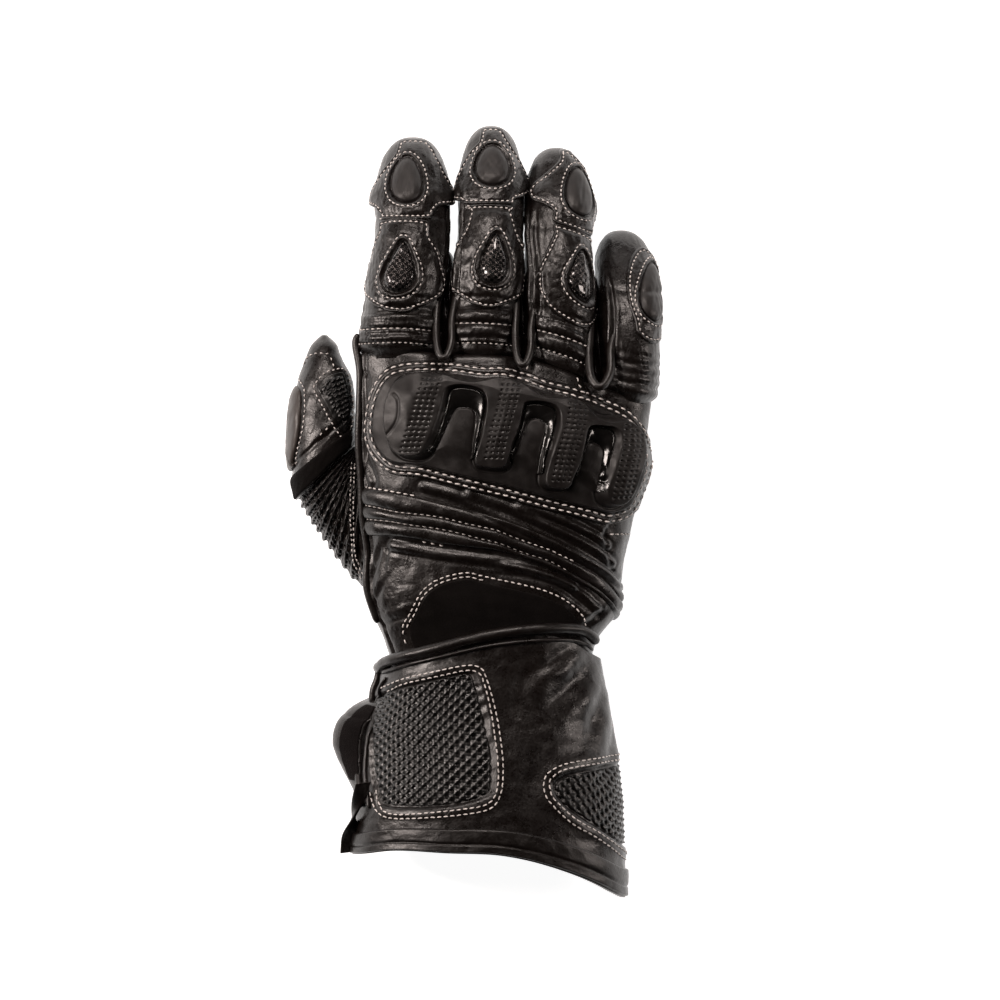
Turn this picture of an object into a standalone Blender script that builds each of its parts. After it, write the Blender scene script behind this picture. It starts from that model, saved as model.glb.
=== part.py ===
"""Right-hand leather motorcycle gauntlet, lying palm down with its fingers along +Y.

A hollow hand, four hollow finger stalls and a hollow thumb are lofted through short tables of
sections. Panels, pads, ribs, guard and cuff trim are sheets laid on those same surfaces. Patterns
are drawn with X across the palm, Y along the fingers from the wrist line and Z up from the ground,
and the finished glove is then set with the bottom centre of its box on the origin.
"""

from collections import namedtuple
import math

import bmesh
import bpy
from mathutils import Matrix, Vector
import numpy as np

# Sizes of the hand, in metres.
HAND_WIDTH = 0.118
HAND_LENGTH = 0.135
HAND_DEPTH = 0.050
WRIST_TUCK = 0.020
LEATHER = 0.0020
SEAM_GAP = 0.0003
LAY_GAP = 0.0008
WEB_MARGIN = 0.0003

# Sizes of the trim that is laid on the leather.
PANEL_THICK = 0.0011
PAD_RISE = 0.0030
PAD_FOOT = 0.0007
RIB_RISE = 0.0017
RIB_FOOT = 0.0007
WELT_RADIUS = 0.0013
FINGER_TOP_HEIGHT = 0.0285

# Sizes of the knuckle guard.
GUARD_LENGTH = 0.1015
GUARD_HEIGHT = 0.326 * HAND_LENGTH
GUARD_RIM = 0.0016
GUARD_DOME = 0.0058
GUARD_SLOT_DEPTH = 0.0034
GUARD_SLANT = math.radians(-12.0)
GUARD_ALONG = 0.609 * HAND_LENGTH
GUARD_ACROSS = 0.0006
GUARD_SQUARE = 3.4
SLOT_WIDTH = 0.0146
SLOT_LENGTH = 0.0276
SLOT_LEAN = math.radians(-12.0)
SURROUND_WIDTH = 0.0040
SURROUND_THICK = 0.0012

# Sizes of the thumb and of the pleated gusset that fans out round a pivot beside the palm.
THUMB_LENGTH = 0.0559
THUMB_WIDTH = 0.0272
THUMB_DEPTH = 0.0300
THUMB_ACROSS = -0.623 * HAND_WIDTH
THUMB_BASE_Y = 0.4926 * HAND_LENGTH
THUMB_SLANT = 0.95
GUSSET_ACROSS = -0.4805 * HAND_WIDTH
GUSSET_ALONG = 0.6067 * HAND_LENGTH
GUSSET_REACH = 0.0640
GUSSET_WALL = 0.0016
PLEATS = 5
PLEAT_DEPTH = 0.0011

# Sizes of the cuff.
CUFF_LENGTH = 0.0900
CUFF_WIDTH = 0.1120
CUFF_DEPTH = 0.0660
CUFF_WALL = 0.0022
CUFF_TOP_Y = -0.0080
REST_SINK = 0.0015
PIPING_RADIUS = 0.0019
HEM_WIDTH = 0.0110
HEM_THICK = 0.0012
PATCH_THICK = 0.0016
FLAP_THICK = 0.0020
PILE_THICK = 0.0010
TAB_LENGTH = 0.0170
TAB_WIDTH = 0.0090
TAB_THICK = 0.0020

# Numbers of faces round and along.
HAND_SIDES = 26
FINGER_SIDES = 14
CUFF_SIDES = 30

SectionRow = namedtuple("SectionRow", "along centre half_width underside top")
ProfileRow = namedtuple("ProfileRow", "along width depth height")
ThumbRow = namedtuple("ThumbRow", "along left right top")
FanRow = namedtuple("FanRow", "along turn near far top")
LineRow = namedtuple("LineRow", "along value")
EdgeRow = namedtuple("EdgeRow", "along low high")
FlapRow = namedtuple("FlapRow", "along foot top reach")
Finger = namedtuple("Finger", "name length width depth place flare lean bow roll_tip roll_base")
Pad = namedtuple("Pad", "name finger middle length width roll")
Slot = namedtuple("Slot", "name across along width")
SlotRow = namedtuple("SlotRow", "outer_across outer_down inner_across inner_down")

# Along the hand from the tucked wrist end to the finger webs. Centre and half width are shares of
# the hand's width, underside and top are shares of its depth.
HAND_SECTIONS = (
    SectionRow(0.00, -0.058, 0.325, 0.20, 0.88),
    SectionRow(0.10, -0.058, 0.335, 0.16, 0.89),
    SectionRow(0.17, -0.058, 0.364, 0.10, 0.92),
    SectionRow(0.27, -0.047, 0.427, 0.03, 0.97),
    SectionRow(0.39, -0.044, 0.434, 0.00, 0.98),
    SectionRow(0.50, -0.041, 0.450, 0.00, 1.00),
    SectionRow(0.62, -0.031, 0.468, 0.00, 1.02),
    SectionRow(0.74, -0.014, 0.487, 0.03, 1.02),
    SectionRow(0.87, -0.015, 0.490, 0.12, 0.98),
    SectionRow(1.00, -0.008, 0.497, 0.21, 0.89),
)

# The line of the finger webs: across in shares of the hand's width, value in shares of its length.
WEB_LINE = (
    LineRow(-0.52, 1.000),
    LineRow(-0.34, 1.003),
    LineRow(-0.20, 0.992),
    LineRow(-0.06, 0.989),
    LineRow(0.06, 0.978),
    LineRow(0.20, 0.942),
    LineRow(0.32, 0.895),
    LineRow(0.42, 0.871),
    LineRow(0.53, 0.853),
)

# Along a finger from web to tip: width and depth are shares of the finger's own, height is the
# centre's share of the top height of the fingers.
FINGER_PROFILE = (
    ProfileRow(0.00, 1.00, 1.18, 0.95),
    ProfileRow(0.17, 1.00, 1.12, 0.98),
    ProfileRow(0.33, 1.00, 1.04, 1.00),
    ProfileRow(0.50, 0.99, 1.00, 0.93),
    ProfileRow(0.70, 1.01, 0.98, 0.69),
    ProfileRow(0.85, 1.00, 0.96, 0.46),
    ProfileRow(1.00, 0.96, 0.94, 0.30),
)
TIP_START = 0.69
TIP_ROUND = 2.15
FLARE_END = 0.5

FINGERS = (
    Finger("index", 0.0868, 0.0292, 0.0276, -0.362, 0.160, 0.0038, 0.0000, -9, -9),
    Finger("middle", 0.0932, 0.0256, 0.0270, -0.083, 0.211, 0.0034, 0.0000, 0, 7),
    Finger("ring", 0.0900, 0.0262, 0.0262, 0.180, 0.137, -0.0014, 0.0004, 34, 30),
    Finger("little", 0.0669, 0.0238, 0.0236, 0.411, -0.055, -0.0026, 0.0022, 48, 46),
)

# Half width of each overlay in degrees round the finger, by share of the finger's length.
TIP_PANEL = (
    LineRow(0.615, 43),
    LineRow(0.650, 47),
    LineRow(0.690, 70),
    LineRow(0.740, 82),
    LineRow(0.790, 76),
    LineRow(0.860, 60),
    LineRow(0.925, 55),
)
BACK_PANEL = (
    LineRow(0.190, 34),
    LineRow(0.225, 54),
    LineRow(0.270, 64),
    LineRow(0.320, 66),
    LineRow(0.400, 58),
    LineRow(0.480, 50),
    LineRow(0.605, 43),
)
LITTLE_PANEL = (
    LineRow(0.220, 36),
    LineRow(0.330, 48),
    LineRow(0.450, 46),
    LineRow(0.620, 54),
    LineRow(0.780, 62),
    LineRow(0.920, 56),
)
RIB_PANEL = (
    LineRow(0.030, 50),
    LineRow(0.095, 54),
    LineRow(0.170, 54),
)

# A pad's half width by share of its length, from its blunt lower end to its narrow upper end.
TEARDROP = (
    LineRow(0.00, 0.10),
    LineRow(0.06, 0.50),
    LineRow(0.22, 0.88),
    LineRow(0.40, 1.00),
    LineRow(0.62, 0.86),
    LineRow(0.82, 0.58),
    LineRow(0.95, 0.28),
    LineRow(1.00, 0.08),
)

# Along the thumb from its slanted base to its tip. Left and right are shares of half the width,
# top is a share of the depth.
THUMB_SECTIONS = (
    ThumbRow(0.00, 0.82, 0.93, 1.06),
    ThumbRow(0.14, 0.94, 0.93, 1.05),
    ThumbRow(0.30, 0.99, 0.93, 1.02),
    ThumbRow(0.46, 0.99, 0.91, 0.97),
    ThumbRow(0.61, 0.90, 0.82, 0.91),
    ThumbRow(0.74, 0.74, 0.65, 0.84),
    ThumbRow(0.85, 0.55, 0.46, 0.74),
    ThumbRow(0.94, 0.36, 0.32, 0.62),
    ThumbRow(1.00, 0.14, 0.14, 0.48),
)

# Round the gusset's fan from the thumb into the palm: turn in degrees, near and far are shares of
# its reach from the pivot, top is a share of the thumb's depth.
GUSSET_SECTIONS = (
    FanRow(0.00, 223.5, 0.085, 0.590, 1.02),
    FanRow(0.20, 236.0, 0.095, 0.640, 1.02),
    FanRow(0.45, 250.0, 0.110, 0.730, 1.01),
    FanRow(0.65, 260.0, 0.125, 0.840, 1.00),
    FanRow(0.82, 269.0, 0.130, 0.950, 1.01),
    FanRow(1.00, 286.0, 0.140, 0.980, 0.98),
)

# Along the cuff from its top edge to its hem, in shares of its width and depth.
CUFF_SECTIONS = (
    SectionRow(0.00, -0.058, 0.392, 0.030, 0.830),
    SectionRow(0.18, -0.055, 0.418, 0.015, 0.845),
    SectionRow(0.36, -0.062, 0.452, 0.000, 0.870),
    SectionRow(0.56, -0.056, 0.468, 0.000, 0.920),
    SectionRow(0.78, -0.058, 0.480, 0.000, 0.970),
    SectionRow(1.00, -0.062, 0.484, 0.000, 1.000),
)
# The back's top edge and the hem: across in shares of the cuff's half width, value in shares of
# the cuff's length, measured up from the plain edge of the palm side.
CUFF_TOP_LINE = (
    LineRow(-1.00, -0.060),
    LineRow(-0.60, 0.012),
    LineRow(-0.10, 0.088),
    LineRow(0.35, 0.125),
    LineRow(0.70, 0.090),
    LineRow(1.00, -0.040),
)
CUFF_HEM_LINE = (
    LineRow(-1.00, 0.055),
    LineRow(-0.30, 0.085),
    LineRow(0.15, 0.070),
    LineRow(0.50, 0.010),
    LineRow(1.00, -0.060),
)
# The wrap's edge on the thumb side: degrees from +X by share of the cuff's length.
WRAP_EDGE = (
    LineRow(0.00, 138),
    LineRow(0.20, 154),
    LineRow(0.45, 161),
    LineRow(0.80, 162),
    LineRow(1.00, 158),
)

# Sheets drawn in plan: each row gives its low and its high edge.
BACK_RIBS = (
    EdgeRow(-0.455, 0.312, 0.468),
    EdgeRow(-0.363, 0.305, 0.462),
    EdgeRow(-0.220, 0.293, 0.445),
    EdgeRow(-0.031, 0.264, 0.402),
    EdgeRow(0.156, 0.210, 0.352),
    EdgeRow(0.300, 0.130, 0.305),
    EdgeRow(0.352, 0.090, 0.270),
)
SUEDE_PATCH = (
    EdgeRow(-0.345, 0.030, 0.055),
    EdgeRow(-0.281, 0.004, 0.145),
    EdgeRow(-0.180, 0.022, 0.198),
    EdgeRow(-0.031, 0.046, 0.190),
    EdgeRow(0.125, 0.060, 0.145),
    EdgeRow(0.215, 0.062, 0.105),
    EdgeRow(0.255, 0.056, 0.070),
)
# Cuff patches in degrees from +X by share of the cuff's length.
LEFT_PATCH = (
    EdgeRow(0.170, 92, 141),
    EdgeRow(0.225, 84, 147),
    EdgeRow(0.430, 82, 153),
    EdgeRow(0.690, 80, 155),
    EdgeRow(0.760, 84, 152),
)
RIGHT_PATCH = (
    EdgeRow(0.560, -14, 40),
    EdgeRow(0.610, -16, 58),
    EdgeRow(0.700, -18, 62),
    EdgeRow(0.790, -18, 56),
    EdgeRow(0.860, -16, 42),
)

# Along the closing flap from top to bottom: its foot and its top edge in degrees from +X round the
# cuff, and how far it stands out of the cuff's side as a share of the cuff's width.
FLAP_SECTIONS = (
    FlapRow(0.19, 200, 170, 0.010),
    FlapRow(0.25, 204, 169, 0.064),
    FlapRow(0.32, 207, 168, 0.090),
    FlapRow(0.42, 208, 167, 0.086),
    FlapRow(0.52, 207, 167, 0.064),
    FlapRow(0.65, 203, 168, 0.026),
)

# The U of a guard slot from the foot of one leg over the top to the foot of the other, across in
# shares of half its width and down in shares of its length.
SLOT_PATH = (
    SlotRow(-1.00, 1.00, -0.84, 1.00),
    SlotRow(-0.86, 0.62, -0.52, 0.66),
    SlotRow(-0.76, 0.30, -0.32, 0.40),
    SlotRow(-0.64, 0.05, -0.24, 0.31),
    SlotRow(0.00, 0.00, 0.00, 0.29),
    SlotRow(0.64, 0.06, 0.24, 0.31),
    SlotRow(0.76, 0.30, 0.36, 0.40),
    SlotRow(0.86, 0.62, 0.62, 0.66),
    SlotRow(0.96, 1.00, 0.82, 1.00),
)
SLOTS = (
    Slot("inner_slot", -0.0150, 0.0996, 1.00),
    Slot("middle_slot", 0.0120, 0.0932, 0.94),
    Slot("outer_slot", 0.0344, 0.0844, 0.88),
)


def follow(rows, column, along):
    """A table's column at some share of the way along, on a smooth curve through its rows."""
    places = np.array([row.along for row in rows], float)
    values = np.array([getattr(row, column) for row in rows], float)
    slopes = np.gradient(values, places)
    along = min(max(along, places[0]), places[-1])
    i = int(min(max(np.searchsorted(places, along) - 1, 0), len(places) - 2))
    span = places[i + 1] - places[i]
    u = (along - places[i]) / span
    return float(
        (2 * u**3 - 3 * u**2 + 1) * values[i]
        + (u**3 - 2 * u**2 + u) * span * slopes[i]
        + (3 * u**2 - 2 * u**3) * values[i + 1]
        + (u**3 - u**2) * span * slopes[i + 1]
    )


def ease(low, high, value):
    """Nought below low, one above high and a smooth step between."""
    u = min(max((value - low) / (high - low), 0.0), 1.0)
    return u * u * (3 - 2 * u)


def spread(low, high, count):
    """Evenly spread shares from low to high."""
    return [low + (high - low) * k / (count - 1) for k in range(count)]


def even_arcs(low, high, count, place):
    """Values from low to high at which place() moves on by equal lengths of its path."""
    values = np.linspace(low, high, 161)
    path = np.array([tuple(place(v)) for v in values])
    lengths = np.concatenate(([0.0], np.cumsum(np.linalg.norm(np.diff(path, axis=0), axis=1))))
    return [float(v) for v in np.interp(np.linspace(0.0, lengths[-1], count), lengths, values)]


def oval(angle, upper, lower):
    """A point of a unit oval, with one squareness above its middle and another below."""
    c, s = math.cos(angle), math.sin(angle)
    power = 2.0 / (upper if s >= 0 else lower)
    return math.copysign(abs(c) ** power, c), math.copysign(abs(s) ** power, s)


def web_y(x):
    """Height of the web line above the wrist line at some place across the palm."""
    return follow(WEB_LINE, "value", x / HAND_WIDTH) * HAND_LENGTH - WRIST_TUCK


def hand_point(along, angle, grow=0.0):
    """A point on the hand's outside, by share of its length and angle from +X."""
    half = follow(HAND_SECTIONS, "half_width", along) * HAND_WIDTH + grow
    centre = follow(HAND_SECTIONS, "centre", along) * HAND_WIDTH
    low = follow(HAND_SECTIONS, "underside", along) * HAND_DEPTH - grow
    top = follow(HAND_SECTIONS, "top", along) * HAND_DEPTH + grow
    across, up = oval(angle, 2.7, 3.2)
    x = centre + half * across
    y = along * (web_y(x) + WRIST_TUCK) - WRIST_TUCK
    return Vector((x, y, max((low + top) / 2 + (top - low) / 2 * up - REST_SINK, -grow)))


def hand_top(x, y, grow=0.0):
    """A point on the back of the hand above some place of the pattern."""
    along = min((y + WRIST_TUCK) / (web_y(x) + WRIST_TUCK), 1.0)
    half = follow(HAND_SECTIONS, "half_width", along) * HAND_WIDTH + grow
    centre = follow(HAND_SECTIONS, "centre", along) * HAND_WIDTH
    low = follow(HAND_SECTIONS, "underside", along) * HAND_DEPTH - grow
    top = follow(HAND_SECTIONS, "top", along) * HAND_DEPTH + grow
    across = min(abs(x - centre) / half, 0.996)
    rise = (top - low) / 2 * (1 - across**2.7) ** (1 / 2.7)
    return Vector((x, y, (low + top) / 2 + rise - REST_SINK))


def finger_ring(finger, along):
    """Centre, half width and half depth of a finger's section."""
    blunt = 1.0
    if along > TIP_START:
        blunt = (1 - ((along - TIP_START) / (1 - TIP_START)) ** TIP_ROUND) ** (1 / TIP_ROUND)
    flare = 1 + finger.flare * max(0.0, 1 - along / FLARE_END) ** 1.5
    sideways = finger.lean * ease(0.0, 0.6, along) + finger.bow * 4 * along * (1 - along)
    height = follow(FINGER_PROFILE, "height", along) * FINGER_TOP_HEIGHT
    half_width = follow(FINGER_PROFILE, "width", along) * finger.width / 2 * flare * blunt
    half_depth = follow(FINGER_PROFILE, "depth", along) * finger.depth / 2 * blunt
    return Vector((finger.place * HAND_WIDTH + sideways, 0, height)), half_width, half_depth


def finger_point(finger, along, angle, grow=0.0):
    """A point on a finger stall's outside, by share of its length and angle from +X."""
    centre, half_width, half_depth = finger_ring(finger, along)
    across, up = oval(angle, 2.2, 2.4)
    x = centre.x + (half_width + grow) * across
    root = web_y(x) + SEAM_GAP
    tip = web_y(finger.place * HAND_WIDTH) + finger.length
    z = max(centre.z + (half_depth + grow) * up, 0.0)
    return Vector((x, root + along * (tip - root), z))


def finger_roll(finger, along):
    """How far the back of a finger is turned from straight up, in degrees towards +X."""
    return finger.roll_base + (finger.roll_tip - finger.roll_base) * ease(0.3, 0.7, along)


def thumb_point(along, angle, grow=0.0):
    """A point on the thumb's outside, by share of its length and angle from +X."""
    side = "right" if math.cos(angle) >= 0 else "left"
    half = follow(THUMB_SECTIONS, side, along) * THUMB_WIDTH / 2
    top = follow(THUMB_SECTIONS, "top", along) * THUMB_DEPTH
    low = ease(0.35, 1.0, along) * THUMB_DEPTH * 0.24
    across, up = oval(angle, 2.1, 2.4)
    x = THUMB_ACROSS + (half + grow) * across
    y = THUMB_BASE_Y + along * THUMB_LENGTH + THUMB_SLANT * (1 - along) * (x - THUMB_ACROSS)
    return Vector((x, y, max((low + top) / 2 + ((top - low) / 2 + grow) * up, 0.0)))


def gusset_point(along, angle, grow=0.0):
    """A point on the gusset's outside, round its fan from the thumb into the palm."""
    turn = math.radians(follow(GUSSET_SECTIONS, "turn", along))
    near = follow(GUSSET_SECTIONS, "near", along) * GUSSET_REACH
    far = follow(GUSSET_SECTIONS, "far", along) * GUSSET_REACH
    top = follow(GUSSET_SECTIONS, "top", along) * THUMB_DEPTH
    out, up = oval(angle, 2.1, 2.4)
    reach = (near + far) / 2 + ((far - near) / 2 + grow) * out
    x = GUSSET_ACROSS + reach * math.cos(turn)
    y = GUSSET_ALONG + reach * math.sin(turn)
    return Vector((x, y, max(top / 2 + (top / 2 + grow) * up, -min(grow, 0.0))))


def pleat(along):
    """How far the gusset's pleats stand out at some share of its fan."""
    return PLEAT_DEPTH * (math.cos(2 * math.pi * PLEATS * along) - 1) / 2


def cuff_point(along, angle, grow=0.0):
    """A point on the cuff's outside, by share of its length and angle from +X."""
    half = follow(CUFF_SECTIONS, "half_width", along) * CUFF_WIDTH + grow
    centre = follow(CUFF_SECTIONS, "centre", along) * CUFF_WIDTH
    low = follow(CUFF_SECTIONS, "underside", along) * CUFF_DEPTH - grow
    top = follow(CUFF_SECTIONS, "top", along) * CUFF_DEPTH + grow
    across, up = oval(angle, 2.3, 3.0)
    edge = follow(CUFF_TOP_LINE, "value", across) * (1 - along) * ease(-0.35, 0.35, up)
    hem = follow(CUFF_HEM_LINE, "value", across) * along
    y = CUFF_TOP_Y - (along - edge - hem) * CUFF_LENGTH
    z = (low + top) / 2 + (top - low) / 2 * up - REST_SINK
    return Vector((centre + half * across, y, max(z, 0.0)))


def material(name, colour, roughness):
    """A Principled material, made once for each name."""
    found = bpy.data.materials.get(name)
    if found:
        return found
    made = bpy.data.materials.new(name)
    made.use_nodes = True
    shader = made.node_tree.nodes["Principled BSDF"]
    shader.inputs["Base Color"].default_value = (*colour, 1.0)
    shader.inputs["Roughness"].default_value = roughness
    return made


def leather():
    """Black full-grain cowhide."""
    return material("black_leather", (0.020, 0.016, 0.014), 0.45)


def pad_rubber():
    """Matt moulded rubber of the fingertip pads."""
    return material("pad_rubber", (0.022, 0.018, 0.017), 0.55)


def carbon():
    """Glossy woven hard shell of the sliders."""
    return material("carbon_slider", (0.012, 0.012, 0.013), 0.12)


def guard_plastic():
    """Satin moulded shell of the knuckle guard."""
    return material("guard_plastic", (0.035, 0.030, 0.029), 0.40)


def suede():
    """Soft napped leather of the wrist patch."""
    return material("suede", (0.010, 0.009, 0.008), 0.95)


def grip_mesh():
    """Embossed open-weave patches of cuff and thumb."""
    return material("grip_mesh", (0.030, 0.026, 0.025), 0.50)


def loop_pile():
    """Black hook-and-loop pile."""
    return material("loop_pile", (0.012, 0.011, 0.011), 0.98)


def mesh_object(name, points, faces, finish, turn_out=False):
    """A new object with this mesh, shaded smooth."""
    mesh = bpy.data.meshes.new(name)
    mesh.from_pydata([tuple(p) for p in points], [], faces)
    mesh.materials.append(finish)
    if turn_out:
        work = bmesh.new()
        work.from_mesh(mesh)
        bmesh.ops.recalc_face_normals(work, faces=work.faces)
        work.to_mesh(mesh)
        work.free()
    mesh.shade_smooth()
    made = bpy.data.objects.new(name, mesh)
    bpy.context.scene.collection.objects.link(made)
    return made


def ring_faces(rings, sides, first=0, inwards=False):
    """Quads between neighbouring rings of points."""
    faces = []
    for ring in range(rings - 1):
        for k in range(sides):
            a = first + ring * sides + k
            b = first + ring * sides + (k + 1) % sides
            quad = (a, b, b + sides, a + sides)
            faces.append(quad if inwards else tuple(reversed(quad)))
    return faces


def closed_tube(name, place, alongs, sides, finish):
    """A solid through rings of place(along, angle) with flat ends."""
    points = [place(a, 2 * math.pi * k / sides) for a in alongs for k in range(sides)]
    last = (len(alongs) - 1) * sides
    faces = ring_faces(len(alongs), sides)
    faces.append(tuple(range(sides)))
    faces.append(tuple(last + sides - 1 - k for k in range(sides)))
    return mesh_object(name, points, faces, finish, True)


def hollow_tube(name, outside, inside, alongs, sides, finish, closed_end=False):
    """A shell between two tubes, open at its start and, unless closed_end, at its end."""
    angles = [2 * math.pi * k / sides for k in range(sides)]
    points = [outside(a, g) for a in alongs for g in angles]
    points += [inside(a, g) for a in alongs for g in angles]
    rings, size = len(alongs), len(alongs) * sides
    faces = ring_faces(rings, sides) + ring_faces(rings, sides, size, True)
    last = (rings - 1) * sides
    for k in range(sides):
        n = (k + 1) % sides
        faces.append((k, n, size + n, size + k))
        if not closed_end:
            faces.append((last + n, last + k, size + last + k, size + last + n))
    if closed_end:
        faces.append(tuple(last + k for k in range(sides)))
        faces.append(tuple(size + last + sides - 1 - k for k in range(sides)))
    return mesh_object(name, points, faces, finish, True)


def strips_across(first, sides):
    """Faces that close a ring with strips across it, for an end that bends with the web line."""
    faces = []
    for k in range(sides // 2):
        corners = [first + k, first + k + 1, first + sides - k - 1, first + (sides - k) % sides]
        corners = list(dict.fromkeys(corners))
        if len(corners) > 2:
            faces.append(tuple(corners))
    return faces


def two_sided(name, bottom, top, rows, columns, finish, closed=False):
    """A closed solid between two grids of the same size, or a ring where the columns close."""
    size = rows * columns
    faces = []
    for i in range(rows - 1):
        for j in range(columns if closed else columns - 1):
            a, b = i * columns + j, i * columns + (j + 1) % columns
            quad = (a, b, b + columns, a + columns)
            faces.append(tuple(reversed(quad)))
            faces.append(tuple(size + q for q in quad))
    first_row = list(range(columns))
    last_row = [(rows - 1) * columns + j for j in range(columns)]
    if closed:
        rims = [first_row + first_row[:1], last_row + last_row[:1]]
    else:
        right = [i * columns + columns - 1 for i in range(1, rows - 1)]
        left = [i * columns for i in range(rows - 2, 0, -1)]
        rims = [first_row + right + last_row[::-1] + left + first_row[:1]]
    for rim in rims:
        for a, b in zip(rim, rim[1:]):
            faces.append((a, b, b + size, a + size))
    return mesh_object(name, bottom + top, faces, finish, True)


def sheet(name, place, rows, columns, thickness, finish, closed=False):
    """A laid sheet: place(i, j, lift) gives a point over the leather at some lift."""
    bottom = [place(i, j, LAY_GAP) for i in range(rows) for j in range(columns)]
    top = [place(i, j, LAY_GAP + thickness(i, j)) for i in range(rows) for j in range(columns)]
    return two_sided(name, bottom, top, rows, columns, finish, closed)


def cut(obj, cutter):
    """Cuts one object from another, and keeps the cutter only as a helper."""
    cutter.hide_render = True
    cutter.display_type = "WIRE"
    boolean = obj.modifiers.new("cut_" + cutter.name, "BOOLEAN")
    boolean.operation = "DIFFERENCE"
    boolean.solver = "EXACT"
    boolean.object = cutter


def hand_alongs(grow=0.0):
    """Places of the hand's rings, pulled in at both ends for an inside."""
    places = [row.along for row in HAND_SECTIONS]
    places[-1] += grow / HAND_LENGTH
    return places


def make_hand():
    """The hollow hand, open at the wrist, with a hole in its end wall for each finger."""
    angles = [2 * math.pi * k / HAND_SIDES for k in range(HAND_SIDES)]
    points = [hand_point(a, g) for a in hand_alongs() for g in angles]
    points += [hand_point(a, g, -LEATHER) for a in hand_alongs(-LEATHER) for g in angles]
    rings, size = len(HAND_SECTIONS), len(HAND_SECTIONS) * HAND_SIDES
    faces = ring_faces(rings, HAND_SIDES) + ring_faces(rings, HAND_SIDES, size, True)
    for k in range(HAND_SIDES):
        n = (k + 1) % HAND_SIDES
        faces.append((k, n, size + n, size + k))
    last = (rings - 1) * HAND_SIDES
    faces += strips_across(last, HAND_SIDES) + strips_across(size + last, HAND_SIDES)
    hand = mesh_object("hand_shell", points, faces, leather(), True)
    for finger in FINGERS:
        cut(hand, finger_hollow(finger))
    hollow = closed_tube(
        "gusset_hollow",
        lambda along, angle: gusset_point(along, angle, -GUSSET_WALL - PLEAT_DEPTH),
        (0.30, 0.45, 0.60, 0.75, 0.88),
        FINGER_SIDES,
        leather(),
    )
    cut(hand, hollow)
    return hand


def hand_envelope():
    """The hand's outside with a seam gap added, which trims the gusset to meet it."""
    angles = [2 * math.pi * k / HAND_SIDES for k in range(HAND_SIDES)]
    points = [hand_point(a, g, SEAM_GAP) for a in hand_alongs(SEAM_GAP) for g in angles]
    faces = ring_faces(len(HAND_SECTIONS), HAND_SIDES)
    faces += strips_across(0, HAND_SIDES)
    faces += strips_across((len(HAND_SECTIONS) - 1) * HAND_SIDES, HAND_SIDES)
    return mesh_object("hand_envelope", points, faces, leather(), True)


def finger_hollow(finger):
    """The space inside a finger's root, as a cutter through the hand's end wall."""
    centre, half_width, half_depth = finger_ring(finger, 0.0)

    def place(along, angle):
        across, up = oval(angle, 2.2, 2.4)
        x = centre.x + (half_width - LEATHER - WEB_MARGIN) * across
        z = centre.z + (half_depth - LEATHER - WEB_MARGIN) * up
        return Vector((x, web_y(x) + (along - 0.6) * 6 * LEATHER, z))

    return closed_tube(finger.name + "_hollow", place, (0.0, 1.0), FINGER_SIDES, leather())


def make_stall(finger):
    """A hollow finger stall, open at its root and rounded at its tip."""
    tip = web_y(finger.place * HAND_WIDTH) + finger.length - LEATHER

    def inside(along, angle):
        point = finger_point(finger, along, angle, -LEATHER)
        return Vector((point.x, min(point.y, tip), max(point.z, LEATHER)))

    return hollow_tube(
        finger.name + "_stall",
        lambda along, angle: finger_point(finger, along, angle),
        inside,
        (0.0, 0.16, 0.34, 0.52, 0.67, 0.78, 0.87, 0.93, 0.97),
        FINGER_SIDES,
        leather(),
        True,
    )


def finger_sheet(finger, name, table, rows, columns, finish, thickness):
    """A sheet round the back of a finger, as wide at each place as its table says."""
    alongs = spread(table[0].along, table[-1].along, rows)
    sides = spread(-1.0, 1.0, columns)

    def place(i, j, lift):
        half = follow(table, "value", alongs[i])
        angle = math.radians(90 - finger_roll(finger, alongs[i]) - half * sides[j])
        return finger_point(finger, alongs[i], angle, lift)

    return sheet(f"{finger.name}_{name}", place, rows, columns, thickness, finish)


def make_finger_trim(finger):
    """The overlays and the flex ribs of one finger."""
    def even(_i, _j):
        return PANEL_THICK

    def ribbed(i, _j):
        return RIB_FOOT + RIB_RISE * (i % 4 in (1, 2, 3)) * (1.0 if i % 4 == 2 else 0.7)

    if finger.name == "little":
        finger_sheet(finger, "side_panel", LITTLE_PANEL, 8, 6, leather(), even)
        return
    finger_sheet(finger, "tip_panel", TIP_PANEL, 8, 8, leather(), even)
    finger_sheet(finger, "back_panel", BACK_PANEL, 8, 7, leather(), even)
    if finger.name != "ring":
        finger_sheet(finger, "flex_ribs", RIB_PANEL, 9, 6, leather(), ribbed)


def dome(u, v):
    """The height of a pad as a share: one at its middle and nought at its edge."""
    return math.sqrt(max(0.0, 1 - u * u)) * math.sqrt(max(0.0, 1 - (2 * v - 1) ** 4))


def make_pad(pad, finish):
    """A domed teardrop on a finger's back, over the overlay that carries it."""
    finger = pad.finger
    lift = LAY_GAP + PANEL_THICK
    girth = (finger.width + finger.depth) / 4 + lift
    rows, columns = 7, 5
    shares, sides = spread(0.0, 1.0, rows), spread(-1.0, 1.0, columns)

    def place(i, j, rise):
        along = pad.middle + (shares[i] - 0.5) * pad.length / finger.length
        half = follow(TEARDROP, "value", shares[i]) * pad.width / 2 / girth
        angle = math.radians(90 - pad.roll) - half * sides[j]
        return finger_point(finger, along, angle, lift + rise)

    def thickness(i, j):
        return PAD_FOOT + PAD_RISE * dome(sides[j], shares[i])

    return sheet(f"{finger.name}_{pad.name}", place, rows, columns, thickness, finish)


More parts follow.
